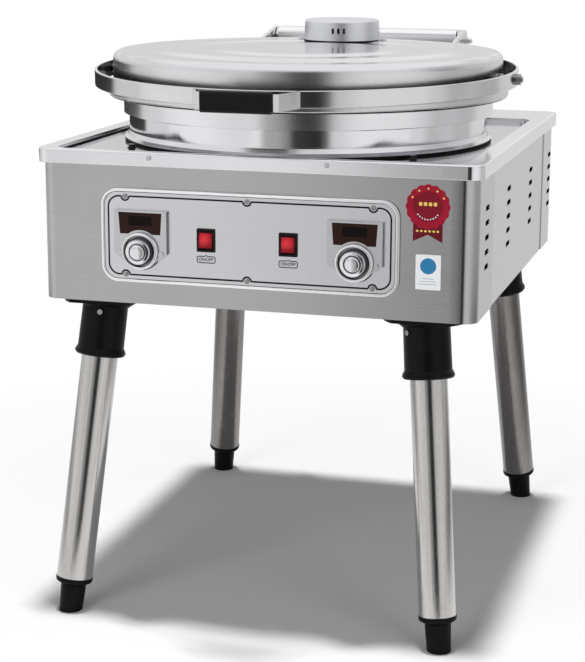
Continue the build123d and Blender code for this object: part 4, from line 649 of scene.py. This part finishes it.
def lathe(name, outline, place, axis_turn, material, body, steps=96, angle=35):
    """Turn (radius, height) points in millimetres about Z, turn the axis and move it to its place."""
    builder = bmesh.new()
    corners = [builder.verts.new((radius / 1000, 0, height / 1000)) for radius, height in outline]
    edges = [builder.edges.new((a, b)) for a, b in zip(corners, corners[1:])]
    bmesh.ops.spin(builder, geom=corners + edges, cent=(0, 0, 0), axis=(0, 0, 1), angle=2 * math.pi,
                   steps=steps, use_duplicate=False)
    bmesh.ops.remove_doubles(builder, verts=builder.verts, dist=1e-6)
    bmesh.ops.recalc_face_normals(builder, faces=builder.faces)
    bmesh.ops.transform(builder, matrix=Matrix.Translation(place) @ axis_turn, verts=builder.verts)
    mesh = bpy.data.meshes.new(name)
    builder.to_mesh(mesh)
    builder.free()
    smooth(mesh, angle)
    return add_object(name, mesh, material, body)


TO_FRONT = Matrix.Rotation(math.radians(90), 4, "X")   # +Z of a turned piece to -Y

# ---------------------------------------------------------------- control panel
panel_lo, panel_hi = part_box("control_plate")
panel_x = (panel_lo[0] + panel_hi[0]) * 500
panel_z = (panel_lo[2] + panel_hi[2]) * 500
panel_wide = (panel_hi[0] - panel_lo[0]) * 1000
panel_high = (panel_hi[2] - panel_lo[2]) * 1000
face_y = (panel_lo[1] - Y0) * 1000
PANEL_CORNER, BEAD_IN, GROOVE_SHADE_IN, SCREW_R = 24.0, 2.8, 4.8, 3.6
screw_lo, screw_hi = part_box("panel_screws")
screw_dx = (screw_hi[0] - screw_lo[0]) * 500 - SCREW_R
screw_dz = (screw_hi[2] - screw_lo[2]) * 500 - SCREW_R


def border_path():
    """The printed frame: a rounded rectangle that bends in round each of the six screws."""
    half_w, half_h, corner, notch = panel_wide / 2 - 11.0, panel_high / 2 - 11.0, 15.0, 5.6
    top = []
    top += arc(half_w - corner, half_h - corner, corner, 0, 90, 10)[:-1]
    for dx in (screw_dx, 0.0, -screw_dx):
        low = math.degrees(math.asin((half_h - screw_dz) / notch))
        top += arc(dx, screw_dz, notch, low, -180 - low, 14)
    top += arc(-half_w + corner, half_h - corner, corner, 90, 180, 10)[1:]
    bottom = [(-x, -z) for x, z in top]
    return [(panel_x + x, panel_z + z) for x, z in top + bottom]


ribbon("panel_border", border_path(), face_y, 2.3, 0.12, ink)
edge = rounded_rect(panel_x, panel_z, panel_wide - 2 * BEAD_IN, panel_high - 2 * BEAD_IN,
                    PANEL_CORNER - BEAD_IN, 12)
ribbon("panel_bead", edge, face_y + 0.6, 4.2, 2.2, bead_bright, rounding=1.2)
# A thin dark line inside the bead: painted shade for the step there.
groove = rounded_rect(panel_x, panel_z, panel_wide - 2 * GROOVE_SHADE_IN, panel_high - 2 * GROOVE_SHADE_IN,
                      PANEL_CORNER - GROOVE_SHADE_IN, 12)
ribbon("panel_groove_shade", groove, face_y, 1.5, 0.08, knob_dark)


def tag_path(cx, cz):
    """A small rounded frame with a peak in the middle of its upper side."""
    half_w, half_h, corner = 12.5, 4.3, 2.2
    points = arc(cx + half_w - corner, cz + half_h - corner, corner, 0, 90, 4)
    points += [(cx + 2.2, cz + half_h), (cx, cz + half_h + 1.5), (cx - 2.2, cz + half_h)]
    points += arc(cx - half_w + corner, cz + half_h - corner, corner, 90, 180, 4)
    points += arc(cx - half_w + corner, cz - half_h + corner, corner, 180, 270, 4)
    points += arc(cx + half_w - corner, cz - half_h + corner, corner, 270, 360, 4)
    return points


for side in ("left", "right"):
    low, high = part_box(f"switch_{side}")
    switch_x = (low[0] + high[0]) * 500
    tag_z = deck_z - 140
    ribbon(f"switch_tag_{side}", tag_path(switch_x, tag_z), face_y, 1.2, 0.12, ink)
    for mark, dx in (("on", -5.6), ("off", 4.8)):
        curve = bpy.data.curves.new(f"{mark}_{side}", "FONT")
        curve.body = mark.upper()
        curve.size = 0.006
        curve.align_x = "CENTER"
        curve.align_y = "CENTER"
        curve.extrude = 0.00005
        curve.offset = 0.0001
        curve.materials.append(ink)
        text = bpy.data.objects.new(f"switch_{mark}_{side}", curve)
        text.matrix_world = Matrix.Translation(at(switch_x + dx, face_y - 0.08, tag_z)) @ TO_FRONT
        bpy.context.collection.objects.link(text)
        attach(text, "stand")

for side in ("left", "right"):
    low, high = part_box(f"display_{side}")
    field = rounded_rect((low[0] + high[0]) * 500, high[2] * 1000 - 11.0, 33.0, 13.0, 2.0, 3)
    front_plate(f"display_field_{side}", field, (low[1] - Y0) * 1000, 0.06, display_field_tint)

# knobs: a dark ring, a bright ring, a thin groove and a domed cap, in place of the plain turned solid
for side in ("left", "right"):
    low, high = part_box(f"knob_{side}")
    centre_x = (low[0] + high[0]) * 500
    centre_z = (low[2] + high[2]) * 500
    place = at(centre_x, face_y, centre_z)
    body = f"knob_{side}"
    seat = 9.3
    ring = [(0, seat), (19.4, seat), (19.4, seat + 3.4), (19.1, seat + 4.4), (18.4, seat + 4.9),
            (17.8, seat + 4.9), (17.3, seat + 4.5), (0, seat + 4.5)]
    dark_ring = lathe(f"knob_ring_{side}", ring, place, TO_FRONT, knob_dark, body, 144)
    bright_ring = [(0, seat + 4.55), (17.2, seat + 4.55), (16.9, seat + 8.0), (16.0, seat + 9.3),
                   (12.9, seat + 10.4), (12.1, seat + 9.9), (11.6, seat + 9.0), (0, seat + 9.0)]
    lathe(f"knob_bright_ring_{side}", bright_ring, place, TO_FRONT, knob_silver, body)
    cap = [(0, seat + 8.9), (10.1, seat + 8.9), (9.9, seat + 10.9), (9.1, seat + 11.8), (6.5, seat + 12.4),
           (3.2, seat + 12.6), (0, seat + 12.65)]
    lathe(f"knob_cap_{side}", cap, place, TO_FRONT, knob_silver, body)
    groove = [(10.3, seat + 9.02), (11.5, seat + 9.02), (11.5, seat + 9.2), (10.3, seat + 9.2),
              (10.3, seat + 9.02)]
    lathe(f"knob_groove_{side}", groove, place, TO_FRONT, knob_dark, body)
    shaft = [(0, seat + 0.1), (3.0, seat + 0.1), (3.0, seat - 17), (0, seat - 17)]
    lathe(f"knob_shaft_{side}", shaft, place, TO_FRONT, bright, body, 32)
    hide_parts(f"knob_{side}")
    collar = [(25.4, 9.02), (25.3, 10.6), (24.5, 11.8), (23.2, 12.3), (21.6, 12.1), (20.6, 11.2),
              (20.1, 9.02), (25.4, 9.02)]
    lathe(f"collar_ring_{side}", collar, place, TO_FRONT, knob_silver, "stand", 128, 60)
    shadow = [(25.7, 0.05), (27.0, 0.05), (27.0, 0.14), (25.7, 0.14), (25.7, 0.05)]
    lathe(f"collar_line_{side}", shadow, place, TO_FRONT, knob_dark, "stand", 96)

# ---------------------------------------------------------------- badge and label on the front
wall_y = (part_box("cabinet_front")[0][1] - Y0) * 1000


def seal_outline(cx, cz, radius, lobes=16, dip=0.03, steps=192):
    """A disc with a softly pointed, scalloped rim."""
    points = []
    for k in range(steps):
        angle = 2 * math.pi * k / steps
        wave = abs(math.cos(lobes * angle / 2))
        r = radius * (1 - dip * (1 - wave) * 2)
        points.append((cx + r * math.sin(angle), cz + r * math.cos(angle)))
    return points


badge_x, badge_z = 233.7, deck_z - 56.0
seal_face, disc_face = wall_y - 0.45, wall_y - 0.6
tails = [(badge_x - 19, badge_z - 18), (badge_x + 19.5, badge_z - 18), (badge_x + 19.5, badge_z - 46),
         (badge_x + 0.5, badge_z - 36), (badge_x - 19, badge_z - 45)]
front_plate("badge_ribbon", tails, wall_y, 0.25, badge_dark)
front_plate("badge_seal", seal_outline(badge_x, badge_z, 29.2), wall_y, 0.45, badge_red,
            rounding=0.12)
front_plate("badge_disc", rounded_rect(badge_x, badge_z, 39, 39, 19.4, 16), seal_face, 0.15, badge_mid)
for k in range(4):
    front_plate(f"badge_bar_{k}", rounded_rect(badge_x - 9.6 + 6.4 * k, badge_z + 3.5, 4.4, 4.8, 1.2),
                disc_face, 0.1, badge_gold)
for k in range(6):
    front_plate(f"badge_stud_{k}", rounded_rect(badge_x - 13.5 + 5.4 * k, badge_z - 31.5, 3.2, 2.6, 0.9),
                wall_y - 0.25, 0.1, badge_gold)
for k in range(5):
    angle = math.radians(-60 + 30 * k)
    dot_x, dot_z = badge_x + 23.5 * math.sin(angle), badge_z + 23.5 * math.cos(angle)
    front_plate(f"badge_dot_{k}", rounded_rect(dot_x, dot_z, 2.6, 2.6, 1.25, 4), seal_face, 0.12, badge_gold)
for k in range(9):
    angle = math.radians(128 + 13 * k)
    dot_x, dot_z = badge_x + 16.2 * math.sin(angle), badge_z + 16.5 * math.cos(angle)
    front_plate(f"badge_bead_{k}", rounded_rect(dot_x, dot_z, 1.9, 1.9, 0.9, 4), disc_face, 0.1, label_white)
label_x, label_face = 235.5, wall_y - 0.15
label = rounded_rect(label_x, deck_z - 141, 33, 46, 1.5)
front_plate("label_plain", label, wall_y, 0.15, label_white)
front_plate("label_disc", rounded_rect(label_x, deck_z - 133, 21, 21, 10.4, 14), label_face, 0.06, label_blue)
for k, long in enumerate((15.0, 21.0, 25.0)):
    line = rounded_rect(label_x, deck_z - 149.5 - 3.6 * k, long, 1.3, 0.6, 3)
    front_plate(f"label_line_{k}", line, label_face, 0.05, label_grey)

# ---------------------------------------------------------------- black ring under the casing's flare, painted shade for the gap there
FLARE_OUT = 7.5   # how far the flare stands out beyond the wall under it
casing_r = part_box("lower_pan_casing")[1][0] * 1000 - FLARE_OUT
# A black ring in place of the shadow gap under the flare: painted shade.
shadow_gap_ring = [(casing_r + 0.2, -5.9), (casing_r + 6.6, -5.9), (casing_r + 6.2, -2.9), (casing_r + 0.2, -2.7),
             (casing_r + 0.2, -5.9)]
lathe("pan_shadow_ring", shadow_gap_ring, Vector((0, pan_y, DECK_TOP)), Matrix.Identity(4), seal_and_shade_black,
      "stand", 160)

# ---------------------------------------------------------------- dark line at the foot of the tray's walls (painted shade), skirt's rolled hem


def bead(name, path, height, radius, closed, material):
    """A round bead along a path in millimetres; height is None where the path has its own heights."""
    curve = bpy.data.curves.new(name, "CURVE")
    curve.dimensions = "3D"
    curve.bevel_depth = radius / 1000
    curve.bevel_resolution = 3
    curve.use_fill_caps = True
    spline = curve.splines.new("POLY")
    spline.points.add(len(path) - 1)
    for point, place in zip(spline.points, path):
        point.co = (*at(*place, *([] if height is None else [height])), 1)
    spline.use_cyclic_u = closed
    curve.materials.append(material)
    piece = bpy.data.objects.new(name, curve)
    bpy.context.collection.objects.link(piece)
    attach(piece, "stand")


deck_wide = (deck_hi[0] - deck_lo[0]) * 1000
deck_deep = (deck_hi[1] - deck_lo[1]) * 1000
TRAY_SIDE, TRAY_FRONT, TRAY_BACK, TRAY_CORNER, TRAY_DEEP = 24.0, 10.0, 126.0, 20.0, 6.0
SHADE_LINE_IN = 0.9   # from the tray's wall and floor to the dark line's middle
DECK_CORNER, HEM_R = 20.0, 1.2
half_w = deck_wide / 2 - TRAY_SIDE - SHADE_LINE_IN
front = -deck_deep / 2 + TRAY_FRONT + SHADE_LINE_IN
back = deck_deep / 2 - TRAY_BACK - TRAY_CORNER
corner = TRAY_CORNER - SHADE_LINE_IN
foot = [(-half_w, back)]
foot += (arc(-half_w + corner, front + corner, corner, 180, 270, 10)
         + arc(half_w - corner, front + corner, corner, 270, 360, 10))
foot += [(half_w, back)]
# A black round bead along the foot of the tray's walls: painted shade in the tray's inner corner.
bead("tray_shade_line", foot, deck_z - TRAY_DEEP + SHADE_LINE_IN, 1.0, False, seal_and_shade_black)
hem = rounded_rect(0, 0, deck_wide - 2 * HEM_R - 0.1, deck_deep - 2 * HEM_R - 0.1, DECK_CORNER - HEM_R, 8)
bead("skirt_hem", hem, deck_lo[2] * 1000 + 0.4, HEM_R, True, deck_steel)

# weld beads where the side panels meet the wraps
SEAM_R = 0.6
side_lo, side_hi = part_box("cabinet_side_right")
front_seam = (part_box("cabinet_front")[1][1] - Y0) * 1000 + SEAM_R - 0.1
rear_seam = (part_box("cabinet_rear")[0][1] - Y0) * 1000 - SEAM_R + 0.1
for side, name in ((-1, "left"), (1, "right")):
    seam_x = side * (side_hi[0] * 1000 + SEAM_R - 0.2)
    for end, seam_y in (("front", front_seam), ("rear", rear_seam)):
        seam = [(seam_x, seam_y, side_lo[2] * 1000 + 0.8), (seam_x, seam_y, deck_lo[2] * 1000 + 6.0)]
        bead(f"seam_{end}_{name}", seam, None, SEAM_R, False, bright)

# thin gasket round the cap's foot
cap_lo, cap_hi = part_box("lid_cap")
cap_r = (cap_hi[1] - cap_lo[1]) * 500
lid_top = (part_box("lid_cover")[1][2] - cap_lo[2]) * 1000
gasket = [(cap_r - 0.6, 0.2), (cap_r + 0.5, 0.2), (cap_r + 0.5, lid_top + 0.5), (cap_r - 0.6, lid_top + 0.9),
          (cap_r - 0.6, 0.2)]
lathe("cap_gasket", gasket, Vector((0, cap_y, cap_lo[2])), Matrix.Identity(4), seal_and_shade_black,
      "upper_pan")
